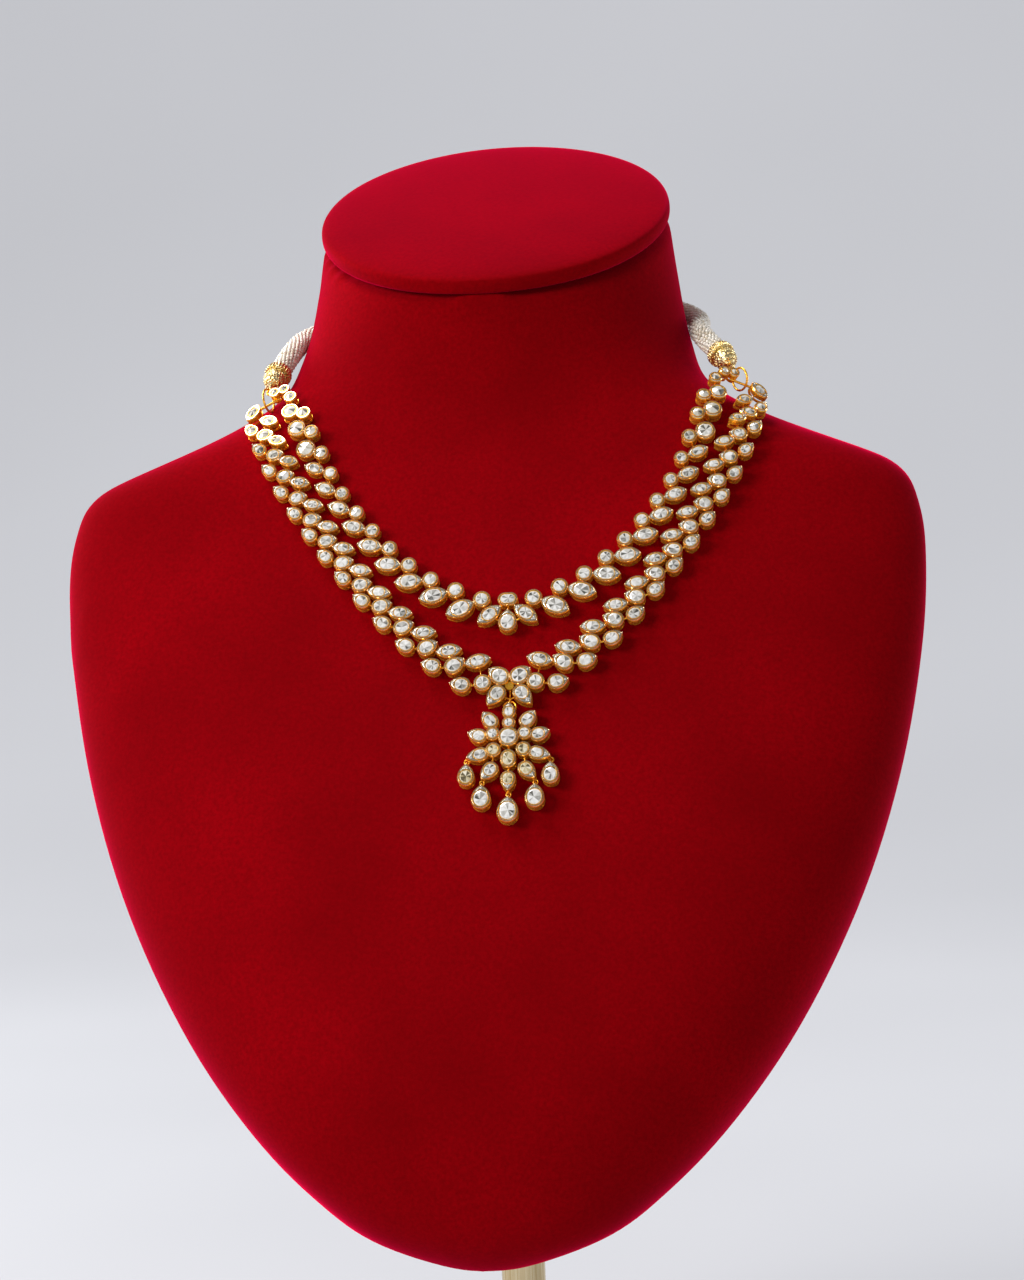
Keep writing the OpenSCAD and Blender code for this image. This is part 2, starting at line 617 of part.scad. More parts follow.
module bust_body() {
    rings = concat(
        [for (s = RING_SHARES) body_ring(base_z + bust_h*s)],
        [for (k = [1:neck_rings]) neck_ring(k/neck_rings)]);
    color("crimson") difference() {
        skin(rings, average(rings[0]), average(rings[len(rings) - 1]));
        translate([0, 0, base_t]) cylinder(h = post_top + fit - base_t, d = post_d + 2*fit);
    }
}

module neck_cap() {
    rim = neck_ring(1);
    middle = average(rim);
    off = [0, -sin(neck_tilt), cos(neck_tilt)];
    rings = [for (row = CAP) [for (p = rim)
        p + unit(p - middle)*cap_lip*row[0] + off*(fit + cap_t*(row[1] - CAP[0][1]))]];
    last = len(rings) - 1;
    color("firebrick") skin(rings, average(rings[0]), average(rings[last]) + off*0.05*cap_t);
}

module inner_links(side) {
    centre = centre_frame();
    color("gold") for (i = [0:inner_last]) {
        f = inner_frame(side, i);
        gems = inner_gems(i);
        bar = bar_frame(side);
        before = i == 0 ? middle_of(bar, bar_gems[1])
            : middle_of(inner_frame(side, i - 1), inner_gems(i - 1)[len(inner_gems(i - 1)) - 1]);
        next = i == inner_last ? middle_of(centre, inner_centre_gems[side > 0 ? 3 : 2])
            : middle_of(inner_frame(side, i + 1), inner_gems(i + 1)[0]);
        held = bearing(f, gems[0], before);
        last = gems[len(gems) - 1];
        holding = bearing(f, last, next);
        if (i == 0) {
            setting(f, last, concat(props(held), [holding]));
        } else {
            setting(f, gems[0], props(held));
            setting(f, last, props(holding));
            bridge(f, gems[0], last);
        }
        if (i == inner_last) {
            hook(f, last, centre, inner_centre_gems[side > 0 ? 3 : 2]);
        } else {
            hook(f, last, inner_frame(side, i + 1), inner_gems(i + 1)[0]);
        }
    }
}

module inner_stones(side) {
    color("whitesmoke") {
        for (i = [0:inner_last], g = inner_gems(i)) stone(inner_frame(side, i), g);
        for (g = bar_gems) stone(bar_frame(side), g);
    }
}

module outer_links(side) {
    front = front_frame();
    single = single_frame(side);
    bar = bar_frame(side);
    color("gold") {
        held = bearing(single, single_gem, middle_of(bar, bar_gems[2]));
        first = middle_of(outer_frame(side, 0), outer_gems(0)[0]);
        setting(single, single_gem, concat(props(held), [bearing(single, single_gem, first)]));
        hook(single, single_gem, outer_frame(side, 0), outer_gems(0)[0]);
        for (i = [0:outer_last]) {
            f = outer_frame(side, i);
            gems = outer_gems(i);
            before = i == 0 ? middle_of(single, single_gem)
                : middle_of(outer_frame(side, i - 1), outer_gems(i - 1)[2]);
            held_at = bearing(f, gems[0], before);
            setting(f, gems[1], props(90));
            bridge(f, gems[0], gems[1]);
            if (i == outer_last) {
                top = outer_centre_gems[side > 0 ? 1 : 0];
                setting(f, gems[0], concat(props(held_at), [bearing(f, gems[0], middle_of(front, top))]));
                hook(f, gems[0], front, top);
            } else {
                after = outer_frame(side, i + 1);
                setting(f, gems[0], props(held_at));
                setting(f, gems[2], props(bearing(f, gems[2], middle_of(after, outer_gems(i + 1)[0]))));
                bridge(f, gems[0], gems[2]);
                hook(f, gems[2], after, outer_gems(i + 1)[0]);
            }
        }
    }
}

module outer_stones(side) {
    color("whitesmoke") {
        stone(single_frame(side), single_gem);
        for (i = [0:outer_last], g = outer_gems(i)) stone(outer_frame(side, i), g);
    }
}

module end_bar(side) {
    f = bar_frame(side);
    inner = middle_of(inner_frame(side, 0), inner_gems(0)[0]);
    outer = middle_of(single_frame(side), single_gem);
    color("goldenrod") {
        setting(f, bar_gems[0], props(90));
        setting(f, bar_gems[1], props(bearing(f, bar_gems[1], inner)));
        setting(f, bar_gems[2], props(bearing(f, bar_gems[2], outer)));
        bridge(f, bar_gems[0], bar_gems[1]);
        rod(place(f, [-bar_l/2, 0, bar_level]), place(f, [bar_l/2 + bar_r, 0, bar_level]), bar_r);
        hook(f, bar_gems[1], inner_frame(side, 0), inner_gems(0)[0]);
        hook(f, bar_gems[2], single_frame(side), single_gem);
    }
}

// The short chain from the end bar to the ball cap: two rings between the bar and the ball's eye.
ball_eye_r = 1.3;
ball_eye_reach = ball_r + 0.9;
link_step = ring_wire + ring_gap/2;
// Place of the chain on the bar, outwards from the bar's middle.
bar_hang = 1;
// Share of the chain's length that the ring next to the ball takes.
ball_ring_share = 0.25;
function ball_middle(side) = spot(side, bar_reach + ball_step[0], bar_z + ball_step[1]) + [0, -lay_gap, 0];
function bar_middle(side) = place(bar_frame(side), [bar_hang, 0, bar_level]);
function chain_axis(side) = unit(bar_middle(side) - ball_middle(side));
function bar_axis(side) =
    let (along = bar_frame(side)[1], axis = chain_axis(side)) unit(along - axis*(along*axis));
function rope_end(side) =
    let (ball = ball_middle(side)) ball + unit(neck_spot(side, ROPE_ROUTE[0]) - ball)*cup_depth;

module end_rings(side) {
    ball = ball_middle(side);
    axis = chain_axis(side);
    flat = bar_axis(side);
    bar_end = norm(bar_middle(side) - ball);
    eye_end = ball_eye_reach + ball_eye_r - link_step;
    halfway = mix(eye_end, bar_end, ball_ring_share);
    low = bar_end + ring_wire + bar_r + ring_gap;
    color("goldenrod") {
        ring_at(ball + axis*(low + halfway - link_step)/2, flat, (low - halfway + link_step)/2, ring_wire);
        ring_at(ball + axis*(halfway + eye_end)/2, cross(axis, flat), (halfway - eye_end)/2 + link_step,
            ring_wire);
    }
}

// Ball cap: a ball with an eye towards the chain and a cup that the bead rope ends in.
cup_gap = 0.2;
cup_wall = 0.4;
cup_r = rope_r + cup_gap + cup_wall;
cup_l = 3;
cup_near = 2.4;
cup_floor = 1.8;
cup_depth = cup_near + cup_floor + cup_gap;
module ball_cap(side) {
    ball = ball_middle(side);
    axis = chain_axis(side);
    back = unit(rope_end(side) - ball);
    color("goldenrod") {
        translate(ball) sphere(ball_r);
        ring_at(ball + axis*ball_eye_reach, bar_axis(side), ball_eye_r, ring_wire);
        difference() {
            rod(ball + back*cup_near, ball + back*(cup_near + cup_l), cup_r);
            rod(ball + back*(cup_near + cup_floor), ball + back*(cup_near + 2*cup_l), rope_r + cup_gap);
        }
    }
}

// Bead rope: from the cup round the neck to the clasp.
rope_off = rope_r + rope_gap;
rope_rings_per_span = 5;
rope_sides = 12;
function section_angle(side, a) = side > 0 ? a - 90 : 270 - a;
function neck_spot(side, p, off = rope_off) =
    let (z = base_z + bust_h*p[1], q = section(section_angle(side, p[0]), z),
        before = section(section_angle(side, p[0] - 2), z), after = section(section_angle(side, p[0] + 2), z),
        along = unit(after - before))
    [q[0] + side*along[1]*off, q[1] - side*along[0]*off, z];
function clasp_middle() = neck_spot(1, [180, rope_back]);
function rope_points(side) =
    let (start = rope_end(side), clasp = clasp_middle())
    concat([start], [for (p = ROPE_ROUTE) neck_spot(side, p)],
        [[side*(clasp_l/2 + fit), clasp[1], clasp[2]]]);

module bead_rope(side) {
    points = rope_points(side);
    count = rope_rings_per_span*(len(points) - 1);
    start = unit(points[0] - ball_middle(side));
    rings = [for (k = [0:count])
        let (t = k/count, middle = curve(points, t),
            along = k == 0 ? start : k == count ? [-side, 0, 0]
                : unit(curve(points, t + 0.01) - curve(points, t - 0.01)),
            outward = unit([middle[0], middle[1] - neck_y, 0]),
            up = unit(cross(along, outward)), out = cross(up, along))
        [for (j = [0:rope_sides - 1]) let (a = 360*j/rope_sides)
            middle + rope_r*(out*cos(a) + up*sin(a))]];
    color("ivory") skin(rings, points[0], points[len(points) - 1]);
}

module clasp() {
    color("goldenrod") translate(clasp_middle() - [clasp_l/2, 0, 0]) rotate([0, 90, 0])
        cylinder(h = clasp_l, r = clasp_r);
}

module inner_centre() {
    f = centre_frame();
    color("gold") {
        for (k = [0:CENTRE_STONES - 1]) {
            g = inner_centre_gems[k];
            side = k == 3 ? 1 : -1;
            last = inner_gems(inner_last);
            holder = middle_of(inner_frame(side, inner_last), last[len(last) - 1]);
            setting(f, g, props(k < 2 ? 90 : bearing(f, g, holder)));
            if (k > 0) bridge(f, inner_centre_gems[0], g);
            if (k > 1) bridge(f, inner_centre_gems[1], g);
        }
    }
}

// The plate in the middle of the outer centre, its depth under the collets' rims, and the direction of
// the straps from the splayed pears to the pendant's eye.
plate_r = 1.5;
plate_drop = 0.4;
strap = 200;
module outer_centre() {
    f = front_frame();
    gems = outer_centre_gems;
    plate_y = (gems[0][GY] + gems[2][GY])/2 - plate_drop;
    eye_top = [0, hinge_v + hinge_eye_r, hinge_z];
    color("gold") {
        for (k = [0, 1]) {
            side = k == 0 ? -1 : 1;
            holder = middle_of(outer_frame(side, outer_last), outer_gems(outer_last)[0]);
            setting(f, gems[k], props(bearing(f, gems[k], holder)));
            lean = k == 0 ? 180 - strap : strap;
            setting(f, gems[k + 2], props(lean));
            bridge(f, gems[k], gems[k + 2]);
            knee = foot(gems[k + 2], lean);
            rod(place(f, [knee[0], knee[1], hinge_z]), place(f, eye_top), slim*hinge_eye_wire);
        }
        bridge(f, gems[0], gems[1]);
        seat_on(f) translate([0, plate_y, hinge_z - hinge_eye_wire])
            cylinder(h = rim_z - hinge_z - plate_drop, r = plate_r);
        rod(place(f, [0, plate_y, hinge_z]), place(f, eye_top), slim*hinge_eye_wire);
        ring_at(place(f, [0, hinge_v, hinge_z]), f[1], hinge_eye_r, hinge_eye_wire);
    }
}

module pendant_frame() {
    f = front_frame();
    bail_y = hinge_v - bail_r;
    color("gold") {
        for (g = concat([lotus_gem], ring_gems)) setting(f, g, props(90));
        for (k = [0:PETALS - 1]) {
            setting(f, petal_gems[k], props(petal_gems[k][TURN] + 180));
            bridge(f, ring_gems[PETAL_RING[k]], petal_gems[k]);
        }
        for (g = ring_gems) bridge(f, lotus_gem, g);
        seat_on(f) {
            translate([0, bail_y, hinge_z]) ring(bail_r, bail_wire);
            translate([0, bail_y - bail_r, hinge_z]) cylinder(h = bridge_z - hinge_z, r = post_r);
        }
        for (k = [0:DROPS - 1]) {
            g = drop_petal(k);
            tip = tip_of(g);
            loop = petal_loop(k);
            inside = tip - tip_post_in*[cos(g[TURN]), sin(g[TURN])];
            seat_on(f) {
                translate([loop[0], loop[1], hinge_z]) ring(loop_r, loop_wire);
                translate([inside[0], inside[1], base_wire_h/2])
                    cylinder(h = bridge_z - base_wire_h/2, r = post_r);
            }
            rod(place(f, [inside[0], inside[1], hinge_z]), place(f, [loop[0], loop[1] + loop_r, hinge_z]),
                slim*loop_wire);
        }
    }
}

module drop(k) {
    f = front_frame();
    g = drop_gem(k);
    loop = drop_loop(k);
    tip = tip_of(g);
    color("gold") {
        setting(f, g, props(90));
        ring_at(place(f, [loop[0], loop[1], hinge_z]), f[1], loop_r, loop_wire);
        rod(place(f, [tip[0], tip[1] + loop_in, hinge_z]), place(f, [tip[0], tip[1] - tip_post_in, hinge_z]),
            slim*loop_wire);
        seat_on(f) translate([tip[0], tip[1] - tip_post_in, base_wire_h/2])
            cylinder(h = bridge_z - base_wire_h/2, r = post_r);
    }
}

module white_stone(f, g) {
    color("whitesmoke") stone(f, g);
}

base_plate();
post();
bust_body();
neck_cap();
for (k = [0, 1]) {
    side = 2*k - 1;
    inner_links(side);
    outer_links(side);
    inner_stones(side);
    outer_stones(side);
    end_bar(side);
    end_rings(side);
    ball_cap(side);
    bead_rope(side);
}
clasp();
inner_centre();
outer_centre();
pendant_frame();
white_stone(front_frame(), lotus_gem);  // pendant_stone
for (k = [1:RING_STONES])
    white_stone(front_frame(), ring_gems[k - 1]);
for (k = [1:PETALS])
    white_stone(front_frame(), petal_gems[k - 1]);
for (k = [1:DROPS]) {
    drop(k - 1);
    white_stone(front_frame(), drop_gem(k - 1));
}
for (k = [1:CENTRE_STONES]) {
    white_stone(centre_frame(), inner_centre_gems[k - 1]);
    white_stone(front_frame(), outer_centre_gems[k - 1]);
}
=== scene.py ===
"""Dresses a two-strand kundan necklace that lies on a red velvet neck bust.

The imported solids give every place: the velvet skins are smoothed copies of the bust's solids, each
stone's place and outline are read from its cut solid, and the seed-pearl rope follows the axis of
the solid rope. The gold work keeps its own solids and gets its finish, its bright rims and its small
paved tips here. All lengths named in millimetres are turned to metres where meshes are made.
The studio round it is a paper sweep with soft lamps, staged and no part of the object.
"""

import logging
import math
import random
from dataclasses import dataclass, replace
from enum import Enum

import bpy
import numpy as np
from mathutils import Matrix, Vector

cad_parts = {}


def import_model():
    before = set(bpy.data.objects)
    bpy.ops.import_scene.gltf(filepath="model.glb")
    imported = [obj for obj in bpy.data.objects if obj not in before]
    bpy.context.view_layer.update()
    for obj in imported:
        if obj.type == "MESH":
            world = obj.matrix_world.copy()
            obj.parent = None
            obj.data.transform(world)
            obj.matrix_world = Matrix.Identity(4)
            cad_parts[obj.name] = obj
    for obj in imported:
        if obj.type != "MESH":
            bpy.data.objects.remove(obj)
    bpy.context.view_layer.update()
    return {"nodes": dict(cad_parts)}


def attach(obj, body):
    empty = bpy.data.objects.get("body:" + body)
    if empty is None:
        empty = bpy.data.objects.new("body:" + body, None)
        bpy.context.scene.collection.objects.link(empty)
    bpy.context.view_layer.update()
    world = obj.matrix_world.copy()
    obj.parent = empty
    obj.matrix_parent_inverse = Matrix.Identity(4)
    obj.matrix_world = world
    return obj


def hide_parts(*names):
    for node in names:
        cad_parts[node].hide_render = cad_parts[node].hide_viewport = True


LOG = logging.getLogger("necklace")
MM = 0.001
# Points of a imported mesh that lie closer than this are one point.
SAME_POINT = 2e-6
# Faces that meet at less than these angles are shaded as one surface.
SOFT_PIECE_DEG = 50
SOFT_NODE_DEG = 35
SIDES = ("left", "right")


class Body(Enum):
    """The rigid bodies of the object."""

    BUST = "bust_and_necklace"
    PENDANT = "pendant"


class Slot(Enum):
    """The record's material slots."""

    VELVET = "velvet"
    GOLD = "gold"
    POLKI = "polki"
    PEARL = "pearl"
    CHROME = "chrome"


# ---- Nodes and materials


def linear(colour: str) -> tuple[float, float, float, float]:
    """Turns an sRGB hex value to a linear colour.

    Args:
        colour: Six hex digits after a hash.

    Returns:
        Red, green, blue and an alpha of one.
    """
    parts = [int(colour[k : k + 2], 16) / 255 for k in (1, 3, 5)]
    return (*[c / 12.92 if c <= 0.04045 else ((c + 0.055) / 1.055) ** 2.4 for c in parts], 1.0)


def add(tree: bpy.types.NodeTree, kind: str, inputs: dict | None = None, **settings) -> bpy.types.Node:
    """Adds a node with its settings and links.

    Args:
        tree: The node tree that gets the node.
        kind: The node's type.
        inputs: For an input's name or number, a value to set or an output to link.
        **settings: Attributes of the node.

    Returns:
        The new node.
    """
    node = tree.nodes.new(kind)
    for key, value in settings.items():
        setattr(node, key, value)
    for key, value in (inputs or {}).items():
        if isinstance(value, bpy.types.NodeSocket):
            tree.links.new(value, node.inputs[key])
        else:
            node.inputs[key].default_value = value
    return node


def ramp(
    tree: bpy.types.NodeTree, factor: bpy.types.NodeSocket, stops: list[tuple[float, str]]
) -> bpy.types.NodeSocket:
    """Runs a value through a colour ramp.

    Args:
        tree: The node tree.
        factor: The output that drives the ramp.
        stops: Position and sRGB hex value of each stop, in order.

    Returns:
        The ramp's colour output.
    """
    node = add(tree, "ShaderNodeValToRGB", {"Fac": factor})
    elements = node.color_ramp.elements
    while len(elements) < len(stops):
        elements.new(1.0)
    for element, (position, colour) in zip(elements, stops):
        element.position = position
        element.color = linear(colour)
    return node.outputs["Color"]


def blank(name: str) -> tuple[bpy.types.Material, bpy.types.NodeTree, bpy.types.NodeSocket]:
    """Starts a material with an output and object coordinates.

    Args:
        name: The material's name.

    Returns:
        The material, its tree and the output of the object coordinates.
    """
    material = bpy.data.materials.new(name)
    material.use_nodes = True
    tree = material.node_tree
    tree.nodes.clear()
    place = add(tree, "ShaderNodeTexCoord").outputs["Object"]
    return material, tree, place


def noise(
    tree: bpy.types.NodeTree, place: bpy.types.NodeSocket, size_mm: float, detail: float = 2.0
) -> bpy.types.NodeSocket:
    """Runs a cloudy pattern over a surface.

    Args:
        tree: The node tree.
        place: The output of the coordinates.
        size_mm: Size of the clouds in millimetres.
        detail: How far they break up.

    Returns:
        The pattern's value.
    """
    return add(
        tree, "ShaderNodeTexNoise", {"Vector": place, "Scale": 1 / (size_mm * MM), "Detail": detail}
    ).outputs["Fac"]


def close(tree: bpy.types.NodeTree, shader: bpy.types.Node) -> None:
    """Links a shader to the material's output.

    Args:
        tree: The material's tree.
        shader: The shader node.
    """
    add(tree, "ShaderNodeOutputMaterial", {"Surface": shader.outputs[0]})


@dataclass(frozen=True)
class Velvet:
    """Short-pile rayon velvet: deep colour face on, a pink sheen where the pile is seen from its side."""

    name: str = "red_velvet"
    deep: str = "#740005"
    bright: str = "#8C0008"
    sheen: str = "#FF0050"
    patch_mm: float = 55.0
    # Drawn coarser than the real pile of about 0.2 mm, which wouldn't show.
    pile_mm: float = 1.3
    nap_mm: float = 0.3

    def build(self) -> bpy.types.Material:
        """Makes the velvet's material."""
        material, tree, place = blank(self.name)
        patch = noise(tree, place, self.patch_mm, 3.0)
        pile = noise(tree, place, self.pile_mm, 4.0)
        blend = add(tree, "ShaderNodeMath", {0: patch, 1: pile}, operation="MULTIPLY")
        colour = ramp(tree, blend.outputs[0], [(0.1, self.deep), (0.42, self.bright)])
        nap = add(
            tree,
            "ShaderNodeBump",
            {"Height": pile, "Strength": 0.12, "Distance": self.nap_mm * MM},
        )
        shader = add(
            tree,
            "ShaderNodeBsdfPrincipled",
            {
                "Base Color": colour,
                "Normal": nap.outputs[0],
                "Roughness": 0.95,
                "Specular IOR Level": 0.02,
                "Sheen Weight": 1.0,
                "Sheen Roughness": 0.35,
                "Sheen Tint": linear(self.sheen),
            },
        )
        close(tree, shader)
        return material


@dataclass(frozen=True)
class Metal:
    """Cast and hand-polished metal: a clean colour with soft ripples and fine wear in its gloss."""

    name: str
    colour: str
    worn: str
    smooth: float = 0.14
    rough: float = 0.3
    ripple_mm: float = 2.2
    ripple: float = 0.12
    ripple_depth_mm: float = 0.1
    carved_mm: float = 0.0
    carved_depth_mm: float = 0.6
    metallic: float = 1.0

    def build(self) -> bpy.types.Material:
        """Makes the metal's material."""
        material, tree, place = blank(self.name)
        wear = noise(tree, place, self.ripple_mm, 3.0)
        colour = ramp(tree, wear, [(0.3, self.worn), (0.62, self.colour)])
        gloss = add(
            tree,
            "ShaderNodeMapRange",
            {"Value": wear, "To Min": self.rough, "To Max": self.smooth},
        )
        height = wear
        depth = self.ripple_depth_mm * MM
        if self.carved_mm:
            cells = add(tree, "ShaderNodeTexVoronoi", {"Vector": place, "Scale": 1 / (self.carved_mm * MM)})
            height = cells.outputs["Distance"]
            depth = self.carved_depth_mm * MM
        bump = add(tree, "ShaderNodeBump", {"Height": height, "Strength": self.ripple, "Distance": depth})
        shader = add(
            tree,
            "ShaderNodeBsdfPrincipled",
            {
                "Base Color": colour,
                "Roughness": gloss.outputs[0],
                "Normal": bump.outputs[0],
                "Metallic": self.metallic,
            },
        )
        close(tree, shader)
        return material


@dataclass(frozen=True)
class PolishedTube:
    """Champagne-plated steel, drawn lengthways: long clear reflections with faint draw lines."""

    name: str = "plated_steel"
    colour: str = "#D8C9A6"
    worn: str = "#BFA97C"
    line_mm: float = 0.8

    def build(self) -> bpy.types.Material:
        """Makes the plated steel's material."""
        material, tree, place = blank(self.name)
        lines = add(tree, "ShaderNodeMapping", {"Vector": place, "Scale": (1.0, 1.0, 0.02)})
        grain = noise(tree, lines.outputs[0], self.line_mm)
        colour = ramp(tree, grain, [(0.35, self.worn), (0.65, self.colour)])
        gloss = add(tree, "ShaderNodeMapRange", {"Value": grain, "To Min": 0.08, "To Max": 0.2})
        shader = add(
            tree,
            "ShaderNodeBsdfPrincipled",
            {"Base Color": colour, "Roughness": gloss.outputs[0], "Metallic": 1.0},
        )
        close(tree, shader)
        return material


@dataclass(frozen=True)
class Polki:
    """Uncut diamond over silver foil: flat facets, each with a painted reflection of its own brightness."""

    name: str = "polki_diamond"
    # From dark to white and from champagne_dark to champagne_light: painted reflections, the lit and shaded
    # looks of the facets.
    dark: str = "#4F4C44"
    grey: str = "#9C9A94"
    mid: str = "#D3D2CE"
    white: str = "#F8F8F8"
    champagne_dark: str = "#5F5436"
    champagne: str = "#C9B98C"
    champagne_light: str = "#F1EBD6"
    # Size of the soft clouds of painted reflection over each stone.
    cloud_mm: float = 1.6

    # Numbers of the mix node's colour sockets.
    FIRST_COLOUR = 6
    SECOND_COLOUR = 7
    MIXED_COLOUR = 2

    def build(self) -> bpy.types.Material:
        """Makes the diamond's material, which reads each facet's painted reflection, kept as its tone, and
        its tint.
        """
        material, tree, place = blank(self.name)
        # Each facet's tone is a painted reflection. Soft clouds of painted reflection are added to it, and
        # the ramps turn the sum into lit and shaded colours.
        tone = add(tree, "ShaderNodeAttribute", attribute_name="tone", attribute_type="GEOMETRY")
        tint = add(tree, "ShaderNodeAttribute", attribute_name="tint", attribute_type="GEOMETRY")
        painted_glint_cloud = noise(tree, place, self.cloud_mm, 4.0)
        soft = add(
            tree,
            "ShaderNodeMapRange",
            {"Value": painted_glint_cloud, "From Min": 0.3, "From Max": 0.7, "To Min": -0.14, "To Max": 0.14},
        )
        tones = {0: tone.outputs["Fac"], 1: soft.outputs[0]}
        painted_glint = add(tree, "ShaderNodeMath", tones, operation="ADD", use_clamp=True)
        clear_glint_colour = ramp(
            tree, painted_glint.outputs[0], [(0.0, self.dark), (0.25, self.grey), (0.6, self.mid), (1.0, self.white)]
        )
        warm = ramp(
            tree,
            painted_glint.outputs[0],
            [(0.1, self.champagne_dark), (0.55, self.champagne), (1.0, self.champagne_light)],
        )
        inputs = {"Factor": tint.outputs["Fac"], self.FIRST_COLOUR: clear_glint_colour, self.SECOND_COLOUR: warm}
        colour = add(tree, "ShaderNodeMix", inputs, data_type="RGBA")
        shader = add(
            tree,
            "ShaderNodeBsdfPrincipled",
            {"Base Color": colour.outputs[self.MIXED_COLOUR], "Roughness": 0.07, "IOR": 2.42},
        )
        close(tree, shader)
        return material


@dataclass(frozen=True)
class SeedPearl:
    """Small freshwater pearls: white nacre with a soft gloss and a slightly different tone on each."""

    name: str = "seed_pearl"
    white: str = "#F7F3EA"
    cream: str = "#DED4C2"

    def build(self) -> bpy.types.Material:
        """Makes the pearls' material."""
        material, tree, _ = blank(self.name)
        tone = add(tree, "ShaderNodeAttribute", attribute_name="tone", attribute_type="GEOMETRY")
        colour = ramp(tree, tone.outputs["Fac"], [(0.3, self.cream), (0.8, self.white)])
        shader = add(
            tree,
            "ShaderNodeBsdfPrincipled",
            {
                "Base Color": colour,
                "Roughness": 0.28,
                "IOR": 1.53,
                "Coat Weight": 0.35,
                "Coat Roughness": 0.12,
            },
        )
        close(tree, shader)
        return material


@dataclass(frozen=True)
class StudioPaper:
    """Matt silver-grey paper of the studio, evenly lit from behind."""

    name: str = "studio_paper"
    low: str = "#76777B"
    high: str = "#828387"
    lit: str = "#C6C7CC"
    glow: float = 0.74
    cloud_mm: float = 700.0

    def build(self) -> bpy.types.Material:
        """Makes the paper's material."""
        material, tree, place = blank(self.name)
        colour = ramp(tree, noise(tree, place, self.cloud_mm), [(0.35, self.low), (0.65, self.high)])
        shader = add(
            tree,
            "ShaderNodeBsdfPrincipled",
            {
                "Base Color": colour,
                "Roughness": 0.9,
                "Emission Color": linear(self.lit),
                "Emission Strength": self.glow,
            },
        )
        close(tree, shader)
        return material


@dataclass
class Finishes:
    """The materials of the object, each built once."""

    velvet: bpy.types.Material
    gold: bpy.types.Material
    carved_gold: bpy.types.Material
    rim: bpy.types.Material
    white_gold: bpy.types.Material
    polki: bpy.types.Material
    pearl: bpy.types.Material
    tube: bpy.types.Material

    @classmethod
    def build(cls) -> "Finishes":
        """Builds every finish."""
        return cls(
            velvet=Velvet().build(),
            gold=Metal(
                "yellow_gold",
                "#FFC84A",
                "#F2AA2C",
                smooth=0.2,
                rough=0.34,
                ripple_mm=2.2,
                ripple=0.15,
                metallic=0.78,
            ).build(),
            carved_gold=Metal(
                "carved_gold",
                "#F6E6B4",
                "#D9B668",
                smooth=0.22,
                rough=0.38,
                ripple_mm=1.8,
                ripple=0.6,
                carved_mm=0.9,
            ).build(),
            rim=Metal(
                "burnished_rim", "#FDE8C8", "#F4D09A", smooth=0.14, rough=0.26, ripple_mm=0.9, ripple=0.1
            ).build(),
            white_gold=Metal(
                "white_gold", "#E4DFD4", "#A9A398", smooth=0.2, rough=0.36, ripple_mm=0.5, ripple=0.4
            ).build(),
            polki=Polki().build(),
            pearl=SeedPearl().build(),
            tube=PolishedTube().build(),
        )


# ---- Modelling helpers


def only(obj: bpy.types.Object) -> bpy.types.Object:
    """Deselects everything, then selects one object and makes it active.

    Args:
        obj: The object to work on.

    Returns:
        The same object.
    """
    bpy.ops.object.select_all(action="DESELECT")
    obj.select_set(True)
    bpy.context.view_layer.objects.active = obj
    return obj


def dress(obj: bpy.types.Object, material: bpy.types.Material) -> bpy.types.Object:
    """Puts one material on an object.

    Args:
        obj: A piece or a CAD node.
        material: Its material.

    Returns:
        The same object.
    """
    obj.data.materials.clear()
    obj.data.materials.append(material)
    return obj


def settle(
    obj: bpy.types.Object, body: Body, replaced: list[str] | None = None
) -> bpy.types.Object:
    """Rides a finished piece on its body and hides the CAD nodes that it stands for.

    Args:
        obj: The piece.
        body: The body that carries it.
        replaced: The CAD nodes that it stands for.

    Returns:
        The same object.
    """
    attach(obj, body.value)
    if replaced:
        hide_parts(*replaced)
    LOG.info("piece %s: %d faces", obj.name, len(obj.data.polygons))
    return obj


